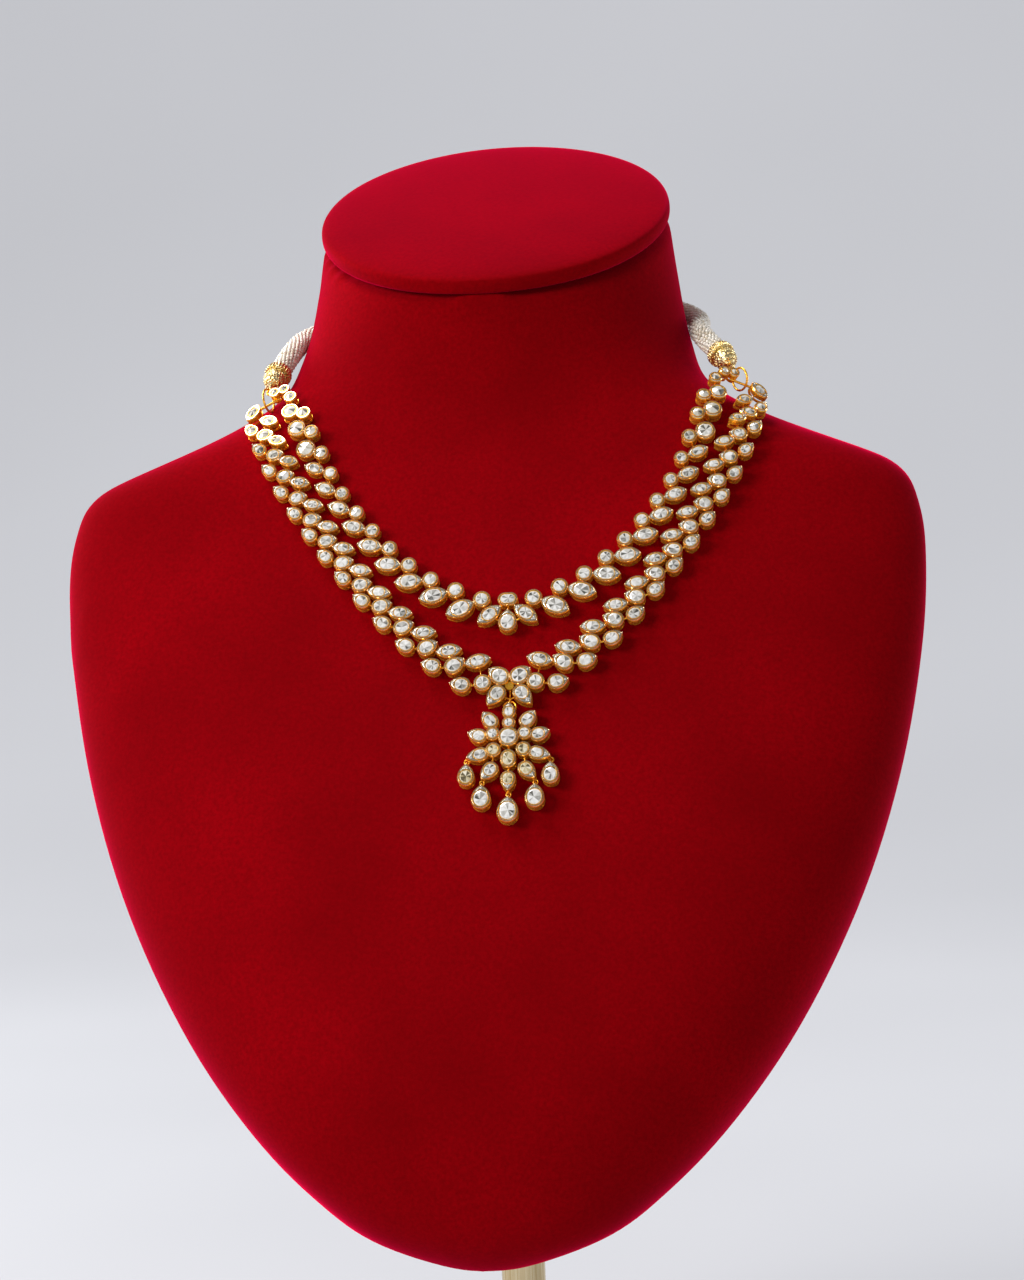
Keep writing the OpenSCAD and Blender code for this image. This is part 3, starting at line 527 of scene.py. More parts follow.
@dataclass
class Pattern:
    """A small shape that is modelled once and copied into joined meshes."""

    points: np.ndarray
    faces: list[tuple[int, ...]]

    # Depth of an uncut diamond's foot under its girdle.
    POLKI_DEEP_MM = 0.9

    @classmethod
    def take(cls) -> "Pattern":
        """Takes the active object's mesh as a pattern and removes the object."""
        obj = bpy.context.view_layer.objects.active
        points = np.array([v.co for v in obj.data.vertices])
        # Extruding puts its faces in a new order in each run, so they are sorted.
        faces = sorted((tuple(p.vertices) for p in obj.data.polygons), key=lambda face: (max(face), face))
        bpy.data.objects.remove(obj)
        return cls(points, faces)

    @classmethod
    def polki(cls, spokes: int, levels: tuple[tuple[float, float], ...], peak: float) -> "Pattern":
        """Models an uncut diamond: girdle, crown and a fan of facets round its peak.

        Args:
            spokes: Facets of the fan.
            levels: Rise in millimetres and shrinkage of each step from the girdle to the fan.
            peak: Rise of the peak over the fan's edge in millimetres.

        Returns:
            A pattern of radius one, with heights in millimetres.
        """
        bpy.ops.mesh.primitive_circle_add(
            vertices=spokes, radius=1.0, fill_type="NGON", location=(0, 0, -cls.POLKI_DEEP_MM)
        )
        bpy.ops.object.mode_set(mode="EDIT")
        bpy.ops.mesh.select_all(action="SELECT")
        for rise, shrink in levels:
            bpy.ops.mesh.extrude_region_move(TRANSFORM_OT_translate={"value": (0, 0, rise)})
            bpy.ops.transform.resize(value=(shrink, shrink, 1.0), center_override=(0, 0, 0))
        bpy.ops.mesh.poke(offset=0.0)
        bpy.ops.object.mode_set(mode="OBJECT")
        bpy.ops.object.transform_apply(location=True, rotation=True, scale=True)
        pattern = cls.take()
        pattern.points[pattern.middle() & (pattern.points[:, 2] > 0), 2] += peak
        return pattern

    def middle(self) -> np.ndarray:
        """Tells which points lie on the pattern's axis."""
        return np.hypot(self.points[:, 0], self.points[:, 1]) < 1e-4

    @classmethod
    def ring(cls, around: int, across: int, thick: float) -> "Pattern":
        """Models a ring of round wire.

        Args:
            around: Steps round the ring.
            across: Sides of the wire.
            thick: Radius of the wire beside a ring of radius one.

        Returns:
            The ring's pattern.
        """
        bpy.ops.mesh.primitive_torus_add(
            major_segments=around,
            minor_segments=across,
            major_radius=1.0,
            minor_radius=thick,
            location=(0, 0, 0),
        )
        bpy.ops.object.transform_apply(location=True, rotation=True, scale=True)
        return cls.take()

    @classmethod
    def brilliant(cls) -> "Pattern":
        """Models a tiny cut diamond: eight crown facets and a table."""
        bpy.ops.mesh.primitive_cone_add(
            vertices=8, radius1=1.0, radius2=0.55, depth=0.5, location=(0, 0, 0.25)
        )
        bpy.ops.object.transform_apply(location=True, rotation=True, scale=True)
        return cls.take()

    @classmethod
    def bead(cls, around: int, along: int) -> "Pattern":
        """Models a bead of radius one.

        Args:
            around: Sides round its axis.
            along: Steps from pole to pole.

        Returns:
            The bead's pattern.
        """
        bpy.ops.mesh.primitive_uv_sphere_add(
            segments=around, ring_count=along, radius=1.0, location=(0, 0, 0)
        )
        bpy.ops.object.transform_apply(location=True, rotation=True, scale=True)
        return cls.take()


class Joined:
    """Gathers copies of patterns and makes one mesh of them."""

    def __init__(self, name: str) -> None:
        """Starts an empty gathering.

        Args:
            name: Name of the piece.
        """
        self.name = name
        self.points: list[np.ndarray] = []
        self.faces: list[tuple[int, ...]] = []
        self.tones: list[float] = []
        self.tints: list[float] = []
        self.count = 0

    def stamp(
        self, faces: list[tuple[int, ...]], points: np.ndarray, tones: list[float], tint: float = 0.0
    ) -> None:
        """Adds one copy.

        Args:
            faces: The pattern's faces.
            points: The copy's points in metres.
            tones: A tone for each face: the pearls' own tone, or a diamond facet's painted reflection.
            tint: The tint of the whole copy.
        """
        self.points.append(points)
        self.faces.extend(tuple(v + self.count for v in face) for face in faces)
        self.tones.extend(tones)
        self.tints.extend([tint] * len(faces))
        self.count += len(points)

    def build(self, material: bpy.types.Material, smooth: bool) -> bpy.types.Object:
        """Makes the object.

        Args:
            material: The material of all copies.
            smooth: Whether the faces are shaded smooth.

        Returns:
            The new object.
        """
        mesh = bpy.data.meshes.new(self.name)
        mesh.from_pydata(np.concatenate(self.points).tolist(), [], self.faces)
        # The tone holds the pearls' own tones and the diamond facets' painted reflections.
        for label, values in (("tone", self.tones), ("tint", self.tints)):
            mesh.attributes.new(label, "FLOAT", "FACE").data.foreach_set("value", values)
        obj = bpy.data.objects.new(self.name, mesh)
        bpy.context.scene.collection.objects.link(obj)
        only(dress(obj, material))
        if smooth:
            bpy.ops.object.shade_smooth_by_angle(angle=math.radians(SOFT_PIECE_DEG))
        return obj


# ---- Stones, read from their cut solids


def unit(vector: np.ndarray) -> np.ndarray:
    """Gives a vector a length of one."""
    return vector / np.linalg.norm(vector)


@dataclass(frozen=True)
class Gem:
    """One stone: its middle at the collet's rim, its three directions and its outline, in metres."""

    middle: np.ndarray
    along: np.ndarray
    across: np.ndarray
    off: np.ndarray
    wide: float
    near: float
    far: float

    # An end that reaches less than this past the half width is round, any other end is pointed.
    BLUNT = 1.05 * MM
    # Rise of the table of a cut solid above its collet's rim.
    TABLE_RISE = 0.5 * MM

    @classmethod
    def read(cls, points: np.ndarray, triangles: np.ndarray) -> "Gem":
        """Reads a stone from its solid: three rings of eight points, the widest in the middle.

        Args:
            points: The solid's points.
            triangles: Its triangles.

        Returns:
            The stone.
        """
        edges = points[triangles]
        areas = np.cross(edges[:, 1] - edges[:, 0], edges[:, 2] - edges[:, 0])
        sizes = np.linalg.norm(areas, axis=1)
        groups: dict[tuple, np.ndarray] = {}
        for area, size in zip(areas, sizes):
            key = tuple(np.round(area / max(size, 1e-18), 2))
            groups[key] = groups.get(key, np.zeros(3)) + area
        back = max(groups.values(), key=np.linalg.norm)
        off = -unit(back)
        heights = points @ off
        order = np.argsort(heights)
        table = heights[order[-8:]].mean()
        girdle = points[order[8:16]]
        around = girdle - girdle.mean(axis=0)
        first = unit(around[0])
        second = np.cross(off, first)
        girdle = girdle[np.argsort(np.arctan2(around @ second, around @ first))]
        spans = [np.linalg.norm(girdle[k] - girdle[k + 4]) for k in range(4)]
        k = int(np.argmax(spans))
        left, right = girdle[(k + 2) % 8], girdle[(k + 6) % 8]
        middle = (left + right) / 2
        tips = sorted((girdle[k], girdle[k + 4]), key=lambda p: np.linalg.norm(p - middle))
        near, far = (float(np.linalg.norm(p - middle)) for p in tips)
        along = unit(tips[1] - middle)
        middle = middle + off * (table - cls.TABLE_RISE - middle @ off)
        wide = float(np.linalg.norm(left - right)) / 2
        # The points beside the middle of an oval lie on its round ends' circles, inside its straight sides.
        full = (far**2 + wide**2) / (2 * far)
        if far - full < cls.BLUNT and near - full < cls.BLUNT and far - near < cls.BLUNT / 2:
            wide = full
        return cls(middle, along, np.cross(off, along), off, wide, near, far)

    def reach(self, turn: np.ndarray, grow: float = 0.0) -> np.ndarray:
        """Gives the distance from the middle to the outline.

        Args:
            turn: Angles from the long direction.
            grow: Distance that the outline is moved outwards.

        Returns:
            The distance for each angle.
        """
        c, s = np.cos(turn), np.sin(turn)
        wide = self.wide + grow
        ends = []
        for length in (self.near, self.far):
            more = length - self.wide
            if more < self.BLUNT:
                round_end = more * np.abs(c) + np.sqrt(np.maximum(wide**2 - (more * s) ** 2, 0))
                straight = wide / np.maximum(np.abs(s), 1e-6)
                ends.append(np.where(more * np.abs(s) > wide * np.abs(c), straight, round_end))
                continue
            radius = (length**2 + self.wide**2) / (2 * self.wide)
            base = radius - self.wide
            ends.append(np.sqrt(np.maximum((radius + grow) ** 2 - (base * c) ** 2, 0)) - base * np.abs(s))
        return np.where(c < 0, ends[0], ends[1])

    def bed(self, share: float = 0.95, fullest: float = 1.3) -> "Gem":
        """Gives the rounder outline of the diamond inside its flange.

        Args:
            share: The bed's width as a share of the stone.
            fullest: Largest reach of the bed as a share of its width.

        Returns:
            The bed as a gem of its own.
        """
        limit = self.wide * fullest
        near, far = (
            share * (length if length - self.wide < self.BLUNT else min(length, limit))
            for length in (self.near, self.far)
        )
        return replace(self, wide=self.wide * share, near=near, far=far)

    def place(self, radius: np.ndarray, turn: np.ndarray, height: np.ndarray) -> np.ndarray:
        """Places points given round the stone.

        Args:
            radius: Distances from the middle in metres.
            turn: Angles from the long direction.
            height: Heights above the rim in metres.

        Returns:
            The points.
        """
        flat = np.outer(radius * np.cos(turn), self.along) + np.outer(radius * np.sin(turn), self.across)
        return self.middle + flat + np.outer(height, self.off)

    def points_out(self) -> list[float]:
        """Lists the pointed ends: their distance from the middle, negative for the near end."""
        ends = ((-1, self.near), (1, self.far))
        return [side * length for side, length in ends if length - self.wide >= self.BLUNT]


def read_gems(node: bpy.types.Object) -> list[Gem]:
    """Reads the stones of a CAD node.

    Args:
        node: The node's object, of loose triangles.

    Returns:
        One gem for each solid in it.
    """
    points = np.array([v.co for v in node.data.vertices])
    keys, merged = np.unique(np.round(points / SAME_POINT).astype(int), axis=0, return_inverse=True)
    merged = merged.ravel()
    node.data.calc_loop_triangles()
    triangles = merged[np.array([t.vertices for t in node.data.loop_triangles])]
    group = np.arange(len(keys))
    changed = True
    while changed:
        least = group[triangles].min(axis=1)
        before = group.copy()
        for k in range(3):
            np.minimum.at(group, triangles[:, k], least)
        changed = not np.array_equal(before, group)
    places = np.zeros((len(keys), 3))
    places[merged] = points
    gems = []
    for label in np.unique(group):
        members = np.flatnonzero(group == label)
        renumber = np.full(len(keys), -1)
        renumber[members] = np.arange(len(members))
        own = triangles[group[triangles[:, 0]] == label]
        gems.append(Gem.read(places[members], renumber[own]))
    return gems


@dataclass
class StoneSet:
    """The stones of one part of the necklace, with their rims and paved tips.

    The collet's wall is wall_mm thick and carries a bright rim of half width rim_mm, over a lip of
    yellow gold, lip_mm half thick, that dips lip_low_mm under the rim. A bezel wire bezel_mm high lies
    round each diamond's bed, and a bright flange of half thickness flange_mm fills the way to the rim.
    """

    name: str
    nodes: list[str]
    body: Body
    champagne: tuple[str, ...] = ()
    seed: int = 1
    rim_mm: float = 0.19
    wall_mm: float = 0.4
    lip_mm: float = 0.24
    lip_low_mm: float = 0.42
    lip_span_mm: tuple[float, float] = (-0.1, 0.35)
    bezel_mm: float = 0.16
    bezel_half_mm: float = 0.2
    flange_mm: float = 0.1
    flange_under_rim_mm: float = 0.15
    # Sizes of the tip's diamonds, from its point inwards: first, the pair beside each other, last.
    tip_sizes_mm: tuple[float, float, float] = (0.34, 0.36, 0.4)
    tip_steps_mm: tuple[float, float, float] = (0.5, 1.1, 1.75)
    tip_pair_mm: float = 0.42
    grain_mm: float = 0.3
    # Height above the floor, in metres, from which the stones have high crowns.
    steep_from: float = 0.335

    # Least lengths of a tip beyond its diamond's bed for a pair of tip stones, and for one more.
    PAIR_ROOM = 1.2 * MM
    LAST_ROOM = 2.0 * MM

    def build(self, nodes: dict[str, bpy.types.Object], finishes: Finishes, patterns: "Patterns") -> None:
        """Makes the stones, the rims and the tips.

        Args:
            nodes: The CAD nodes by name.
            finishes: The materials.
            patterns: The shapes to copy.
        """
        draw = random.Random(self.seed)
        stones = Joined(f"polki_{self.name}")
        rims = Joined(f"rims_{self.name}")
        bezels = Joined(f"bezels_{self.name}")
        flanges = Joined(f"flanges_{self.name}")
        tips = Joined(f"paved_tips_{self.name}")
        for name in self.nodes:
            for gem in read_gems(nodes[name]):
                steep = gem.middle[2] + draw.uniform(-0.02, 0.02) > self.steep_from
                pattern = draw.choice(patterns.steep if steep else patterns.flat)
                self.cut(stones, gem, pattern, draw, name in self.champagne)
                bed = gem.bed()
                edge = (self.wall_mm - self.rim_mm, self.wall_mm + self.rim_mm)
                lip = (self.wall_mm + self.lip_span_mm[0], self.wall_mm + self.lip_span_mm[1])
                bezel = (-0.5 * self.bezel_mm, 1.5 * self.bezel_mm)
                self.wire(rims, patterns, gem, edge, (0.0, self.rim_mm))
                self.wire(bezels, patterns, gem, lip, (-self.lip_low_mm, self.lip_mm))
                self.wire(bezels, patterns, bed, bezel, (self.bezel_mm, self.bezel_half_mm))
                self.plate(flanges, patterns, bed, gem)
                self.pave(tips, rims, gem, patterns, draw)
        settle(stones.build(finishes.polki, False), self.body, self.nodes)
        settle(rims.build(finishes.rim, True), self.body)
        settle(bezels.build(finishes.gold, True), self.body)
        settle(flanges.build(finishes.white_gold, True), self.body)
        if tips.points:
            settle(tips.build(finishes.polki, False), self.body)

    def cut(self, joined: Joined, gem: Gem, pattern: Pattern, draw: random.Random, champagne: bool) -> None:
        """Fits a copy of the diamond to a stone.

        Args:
            joined: The mesh that gets it.
            gem: The stone.
            pattern: The diamond's pattern.
            draw: The source of the facets' painted reflections, kept as tones.
            champagne: Whether the stone is a darker, warmer one.
        """
        bed = gem.bed()
        radius = np.hypot(pattern.points[:, 0], pattern.points[:, 1])
        turn = np.arctan2(pattern.points[:, 1], pattern.points[:, 0])
        for lobes, sway in ((2, 0.1), (3, 0.09), (5, 0.05)):
            turn = turn + sway * np.sin(lobes * turn + draw.uniform(0, 2 * math.pi))
        points = gem.place(radius * bed.reach(turn), turn, pattern.points[:, 2] * MM)
        peak = np.flatnonzero(pattern.middle() & (pattern.points[:, 2] > 0))
        spread = 0.2 * bed.wide
        points[peak] += gem.along * draw.uniform(-spread, spread) + gem.across * draw.uniform(-spread, spread)
        # Each facet gets a painted reflection as its tone, and some of the fan's facets get a dark painted
        # wedge.
        tones = []
        for face in pattern.faces:
            fan = any(v in peak for v in face)
            tone = draw.uniform(0.5, 1.0)
            if fan and draw.random() < 0.3:
                tone = draw.uniform(0.0, 0.4)
            tones.append(tone)
        warm = draw.uniform(0.0, 0.4) if gem.middle[2] > self.steep_from else 0.0
        joined.stamp(pattern.faces, points, tones, 1.0 if champagne else warm)

    @staticmethod
    def wire(
        joined: Joined, patterns: "Patterns", gem: Gem, span: tuple[float, float], rise: tuple[float, float]
    ) -> None:
        """Lays a wire round an outline.

        Args:
            joined: The mesh that gets it.
            patterns: The shapes to copy.
            gem: The outline.
            span: How far the wire's inner and outer side lie outside the outline, in millimetres.
            rise: Height of its middle over the collet's rim and half its thickness, in millimetres.
        """
        ring = patterns.ring
        turn, share = patterns.round_the_ring()
        grow = (span[0] + (span[1] - span[0]) * share) * MM
        reach = np.array([gem.reach(np.array([a]), g)[0] for a, g in zip(turn, grow)])
        height = (rise[0] + ring.points[:, 2] / patterns.ring_thick * rise[1]) * MM
        joined.stamp(ring.faces, gem.place(reach, turn, height), [1.0] * len(ring.faces))

    def plate(self, joined: Joined, patterns: "Patterns", inner: Gem, outer: Gem) -> None:
        """Lays the bright plate between a diamond's bezel and its collet's rim.

        Args:
            joined: The mesh that gets it.
            patterns: The shapes to copy.
            inner: The bezel's outline.
            outer: The collet's outline.
        """
        ring = patterns.ring
        turn, share = patterns.round_the_ring()
        low, high = inner.reach(turn), outer.reach(turn, self.flange_under_rim_mm * MM)
        height = (0.02 + ring.points[:, 2] / patterns.ring_thick * self.flange_mm) * MM
        points = outer.place(low + (high - low) * share, turn, height)
        joined.stamp(ring.faces, points, [1.0] * len(ring.faces))

    def pave(self, tips: Joined, rims: Joined, gem: Gem, patterns: "Patterns", draw: random.Random) -> None:
        """Sets tiny diamonds and a grain of metal at each pointed end.

        Args:
            tips: The mesh that gets the diamonds.
            rims: The mesh that gets the grain.
            gem: The stone.
            patterns: The shapes to copy.
            draw: The source of the facets' painted reflections, kept as tones.
        """
        bed = gem.bed()
        first, pair, last = zip(self.tip_steps_mm, self.tip_sizes_mm)
        for end in gem.points_out():
            side = math.copysign(1.0, end)
            length = abs(end)
            room = length - (bed.far if side > 0 else bed.near)
            rows = [(length - first[0] * MM, 0.0, first[1])]
            if room > self.PAIR_ROOM:
                shifts = (self.tip_pair_mm, -self.tip_pair_mm)
                rows += [(length - pair[0] * MM, shift, pair[1]) for shift in shifts]
            if room > self.LAST_ROOM:
                rows.append((length - last[0] * MM, 0.0, last[1]))
            for reach, shift, size in rows:
                cut = patterns.brilliant
                middle = gem.middle + gem.along * side * reach + gem.across * shift * MM + gem.off * 0.12 * MM
                spin = draw.uniform(0, math.pi)
                along = gem.along * math.cos(spin) + gem.across * math.sin(spin)
                across = np.cross(gem.off, along)
                points = middle + cut.points @ np.array([along, across, gem.off]) * size * MM
                # Each facet of the tiny diamond gets a painted reflection as its tone.
                tips.stamp(cut.faces, points, [draw.uniform(0.45, 1.0) for _ in cut.faces])
            grain = patterns.grain
            middle = gem.middle + gem.along * side * (length + 1.5 * self.grain_mm * MM)
            rims.stamp(grain.faces, middle + grain.points * self.grain_mm * MM, [1.0] * len(grain.faces))


@dataclass
class Patterns:
    """The shapes that are modelled once."""

    flat: list[Pattern]
    steep: list[Pattern]
    ring: Pattern
    ring_thick: float
    brilliant: Pattern
    grain: Pattern
    pearl: Pattern

    @classmethod
    def build(cls) -> "Patterns":
        """Models every shape."""
        thick = 0.1
        return cls(
            flat=[Pattern.polki(spokes, ((1.0, 1.0), (0.3, 0.8)), 0.12) for spokes in (11, 13, 14)],
            steep=[Pattern.polki(spokes, ((1.0, 1.0), (0.08, 0.95)), 0.75) for spokes in (8, 9, 11)],
            ring=Pattern.ring(32, 6, thick),
            ring_thick=thick,
            brilliant=Pattern.brilliant(),
            grain=Pattern.bead(8, 5),
            pearl=Pattern.bead(8, 5),
        )

    def round_the_ring(self) -> tuple[np.ndarray, np.ndarray]:
        """Gives the ring's points as angles round it and as shares of the way across its wire."""
        x, y = self.ring.points[:, 0], self.ring.points[:, 1]
        return np.arctan2(y, x), (np.hypot(x, y) - 1 + self.ring_thick) / (2 * self.ring_thick)


# ---- Bust and stand


@dataclass
class NeckBust:
    """The velvet bust with its padded cap, and the metal post and foot."""

    pile_mm: float = 0.25
    # Faces nearer the upright axis than this belong to the post's bore, whose rims stay sharp.
    bore_mm: float = 8.6
    # Rounds of subdivision of the skins.
    levels: int = 2

    def build(self, nodes: dict[str, bpy.types.Object], finishes: Finishes) -> None:
        """Makes the velvet skins and dresses the metal.

        Args:
            nodes: The CAD nodes by name.
            finishes: The materials.
        """
        for node, piece in (("bust_body", "velvet_bust"), ("neck_cap", "velvet_cap")):
            skin = self.skin(nodes[node], piece)
            dress(skin, finishes.velvet)
            settle(skin, Body.BUST, [node])
        for node in ("post", "base_plate"):
            dress(nodes[node], finishes.tube)

    def skin(self, source: bpy.types.Object, name: str) -> bpy.types.Object:
        """Makes a smooth skin over a copy of a faceted solid.

        Args:
            source: The CAD node.
            name: Name of the piece.

        Returns:
            The skin.
        """
        obj = bpy.data.objects.new(name, source.data.copy())
        bpy.context.scene.collection.objects.link(obj)
        only(obj)
        bpy.ops.object.mode_set(mode="EDIT")
        bpy.ops.mesh.select_all(action="SELECT")
        bpy.ops.mesh.customdata_custom_splitnormals_clear()
        bpy.ops.mesh.remove_doubles(threshold=SAME_POINT)
        bpy.ops.mesh.tris_convert_to_quads(face_threshold=math.radians(35), shape_threshold=math.radians(60))
        bpy.ops.mesh.normals_make_consistent(inside=False)
        bpy.ops.mesh.select_all(action="DESELECT")
        bpy.ops.object.mode_set(mode="OBJECT")
        for face in obj.data.polygons:
            x, y = face.center.xy
            face.select = math.hypot(x, y) < self.bore_mm * MM and abs(face.normal.z) < 0.1
        bpy.ops.object.mode_set(mode="EDIT")
        bpy.ops.mesh.select_mode(type="FACE")
        bpy.ops.mesh.region_to_loop()
        bpy.ops.transform.edge_crease(value=1.0)
        bpy.ops.mesh.select_mode(type="VERT")
        bpy.ops.mesh.select_all(action="SELECT")
        bpy.ops.transform.shrink_fatten(value=self.pile_mm * MM)
        bpy.ops.object.mode_set(mode="OBJECT")
        smoother = obj.modifiers.new("smooth_skin", "SUBSURF")
        smoother.levels = smoother.render_levels = self.levels
        bpy.ops.object.modifier_apply(modifier=smoother.name)
        bpy.ops.object.shade_smooth()
        return obj


# ---- Ends of the necklace


@dataclass
class PearlRope:
    """One half of the rope: strands of seed pearls wound round a thread core."""

    side: str
    strands: int = 15
    pearl_mm: float = 0.78
    bundle_mm: float = 3.3
    core_mm: float = 2.5
    turns: float = 1.6
    # Points of each ring of the solid rope's skin.
    columns: int = 12

    def axis(self, node: bpy.types.Object) -> np.ndarray:
        """Reads the axis of the solid rope from the rings of its skin.

        Args:
            node: The rope's CAD node.

        Returns:
            The middles of its rings, from the ball cap to the clasp.
        """
        points = np.array([v.co for v in node.data.vertices])
        keys, merged = np.unique(np.round(points / SAME_POINT).astype(int), axis=0, return_inverse=True)
        merged = merged.ravel()
        places = np.zeros((len(keys), 3))
        places[merged] = points
        near: list[set[int]] = [set() for _ in keys]
        for face in node.data.polygons:
            ring = [int(merged[v]) for v in face.vertices]
            for a, b in zip(ring, ring[1:] + ring[:1]):
                near[a].add(b)
                near[b].add(a)
        ends = [k for k, others in enumerate(near) if len(others) == self.columns]
        start = min((k for k in ends if self.is_pole(places, near, k)), key=lambda k: places[k][1])
        seen, layer, middles = {start}, set(near[start]), []
        while layer:
            middles.append(np.mean([places[k] for k in layer], axis=0))
            seen |= layer
            layer = set().union(*(near[k] for k in layer)) - seen
        return np.array(middles[:-1] if len(middles) > 2 else middles)

    @staticmethod
    def is_pole(places: np.ndarray, near: list[set[int]], k: int) -> bool:
        """Tells whether a point is the middle of its neighbours, as at the rope's flat ends."""
        return bool(np.linalg.norm(np.mean([places[j] for j in near[k]], axis=0) - places[k]) < 0.1 * MM)

    def build(self, nodes: dict[str, bpy.types.Object], finishes: Finishes, patterns: Patterns) -> np.ndarray:
        """Makes the pearls and their core.

        Args:
            nodes: The CAD nodes by name.
            finishes: The materials.
            patterns: The shapes to copy.

        Returns:
            The rope's axis.
        """
        node = nodes[f"bead_rope_{self.side}"]
        axis = self.axis(node)
        steps = np.linalg.norm(np.diff(axis, axis=0), axis=1)
        runs = np.concatenate([[0], np.cumsum(steps)])
        count = int(runs[-1] / (2 * self.pearl_mm * MM)) - 1
        draw = random.Random(7)
        pearls = Joined(f"seed_pearls_{self.side}")
        stations = (np.arange(count) + 0.8) * runs[-1] / (count + 0.6)
        for strand in range(self.strands):
            shift = draw.uniform(-0.5, 0.5) * self.pearl_mm * MM
            for s in stations:
                middle, along = self.at(axis, runs, s + shift)
                out = unit(np.cross(along, (0, 0, 1)))
                up = np.cross(out, along)
                turn = 2 * math.pi * (strand / self.strands + self.turns * s / runs[-1])
                radius = (self.bundle_mm + draw.uniform(-0.08, 0.08)) * MM
                size = self.pearl_mm * draw.uniform(0.86, 1.0) * MM
                place = middle + (out * math.cos(turn) + up * math.sin(turn)) * radius
                tone = draw.uniform(0.2, 1.0)
                pearl = patterns.pearl
                pearls.stamp(pearl.faces, place + pearl.points * size, [tone] * len(pearl.faces))
        obj = pearls.build(finishes.pearl, True)
        settle(obj, Body.BUST, [node.name])
        settle(self.core(axis, finishes), Body.BUST)
        return axis

    @staticmethod
    def at(axis: np.ndarray, runs: np.ndarray, s: float) -> tuple[np.ndarray, np.ndarray]:
        """Gives the point and the direction of the axis at a distance along it.

        Args:
            axis: The axis's points.
            runs: Their distances from its start.
            s: The distance.

        Returns:
            The point and the unit direction.
        """
        k = int(np.clip(np.searchsorted(runs, s) - 1, 0, len(axis) - 2))
        share = (s - runs[k]) / (runs[k + 1] - runs[k])
        return axis[k] + (axis[k + 1] - axis[k]) * share, unit(axis[k + 1] - axis[k])

    def core(self, axis: np.ndarray, finishes: Finishes) -> bpy.types.Object:
        """Makes the thread core inside the pearls.

        Args:
            axis: The rope's axis.
            finishes: The materials.

        Returns:
            The core.
        """
        curve = bpy.data.curves.new(f"pearl_thread_{self.side}", "CURVE")
        curve.dimensions = "3D"
        curve.bevel_depth = self.core_mm * MM
        curve.bevel_resolution = 3
        curve.use_fill_caps = True
        spline = curve.splines.new("POLY")
        spline.points.add(len(axis) - 1)
        for point, place in zip(spline.points, axis):
            point.co = (*place, 1.0)
        obj = bpy.data.objects.new(curve.name, curve)
        bpy.context.scene.collection.objects.link(obj)
        only(obj)
        bpy.ops.object.convert(target="MESH")
        obj = bpy.context.view_layer.objects.active
        obj.data.attributes.new("tone", "FLOAT", "FACE")
        dress(obj, finishes.pearl)
        bpy.ops.object.shade_smooth()
        return obj


@dataclass
class BallCap:
    """The granulated ball over the end of the rope, with a fluted cup."""

    side: str
    ball_mm: float = 3.9
    cup_mm: float = 4.7
    cup_depth_mm: float = 4.4
    cup_near_mm: float = 2.4
    cup_long_mm: float = 3.0
    grain_mm: float = 0.42
    flutes: int = 26

    # Rows of grains, as angles in degrees from the ball's outer end.
    GRAIN_ROWS = (38, 62, 86, 110)

    def build(self, axis: np.ndarray, finishes: Finishes, patterns: Patterns) -> None:
        """Makes the grains on the ball and the flutes on the cup.

        Args:
            axis: The rope's axis, whose first point is the cup's floor.
            finishes: The materials.
            patterns: The shapes to copy.
        """
        back = unit(axis[1] - axis[0])
        ball = axis[0] - back * self.cup_depth_mm * MM
        out = unit(np.cross(back, (0, 0, 1)))
        up = np.cross(out, back)
        joined = Joined(f"granulation_{self.side}")
        grain = patterns.grain
        for angle in self.GRAIN_ROWS:
            level = math.radians(angle)
            radius = self.ball_mm * math.sin(level)
            count = int(2 * math.pi * radius / (2.35 * self.grain_mm))
            for k in range(count):
                turn = 2 * math.pi * k / count
                around = (out * math.cos(turn) + up * math.sin(turn)) * radius
                place = ball + (around - back * self.ball_mm * math.cos(level)) * MM
                joined.stamp(grain.faces, place + grain.points * self.grain_mm * MM, [1.0] * len(grain.faces))
        for k in range(self.flutes):
            turn = 2 * math.pi * k / self.flutes
            spoke = out * math.cos(turn) + up * math.sin(turn)
            middle = ball + (spoke * self.cup_mm + back * (self.cup_near_mm + self.cup_long_mm / 2)) * MM
            sizes = np.array([0.4, 0.4, self.cup_long_mm * 0.52])
            points = (grain.points * sizes) @ np.array([np.cross(back, spoke), spoke, back])
            joined.stamp(grain.faces, middle + points * MM, [1.0] * len(grain.faces))
        settle(joined.build(finishes.carved_gold, True), Body.BUST)


@dataclass
class GoldWork:
    """The cast and soldered gold, which keeps its solids."""

    def build(self, nodes: dict[str, bpy.types.Object], finishes: Finishes) -> None:
        """Dresses the gold nodes.

        Args:
            nodes: The CAD nodes by name.
            finishes: The materials.
        """
        for name, obj in nodes.items():
            if name.startswith("ball_cap"):
                dress(obj, finishes.carved_gold)
            elif name.startswith(("inner_links", "outer_links", "end_", "clasp", "pendant_frame")):
                dress(obj, finishes.gold)
            elif name.endswith("_centre") or name in {f"drop_{k}" for k in range(1, 6)}:
                dress(obj, finishes.gold)
            only(obj)
            bpy.ops.object.shade_smooth_by_angle(angle=math.radians(SOFT_NODE_DEG))


# ---- Studio


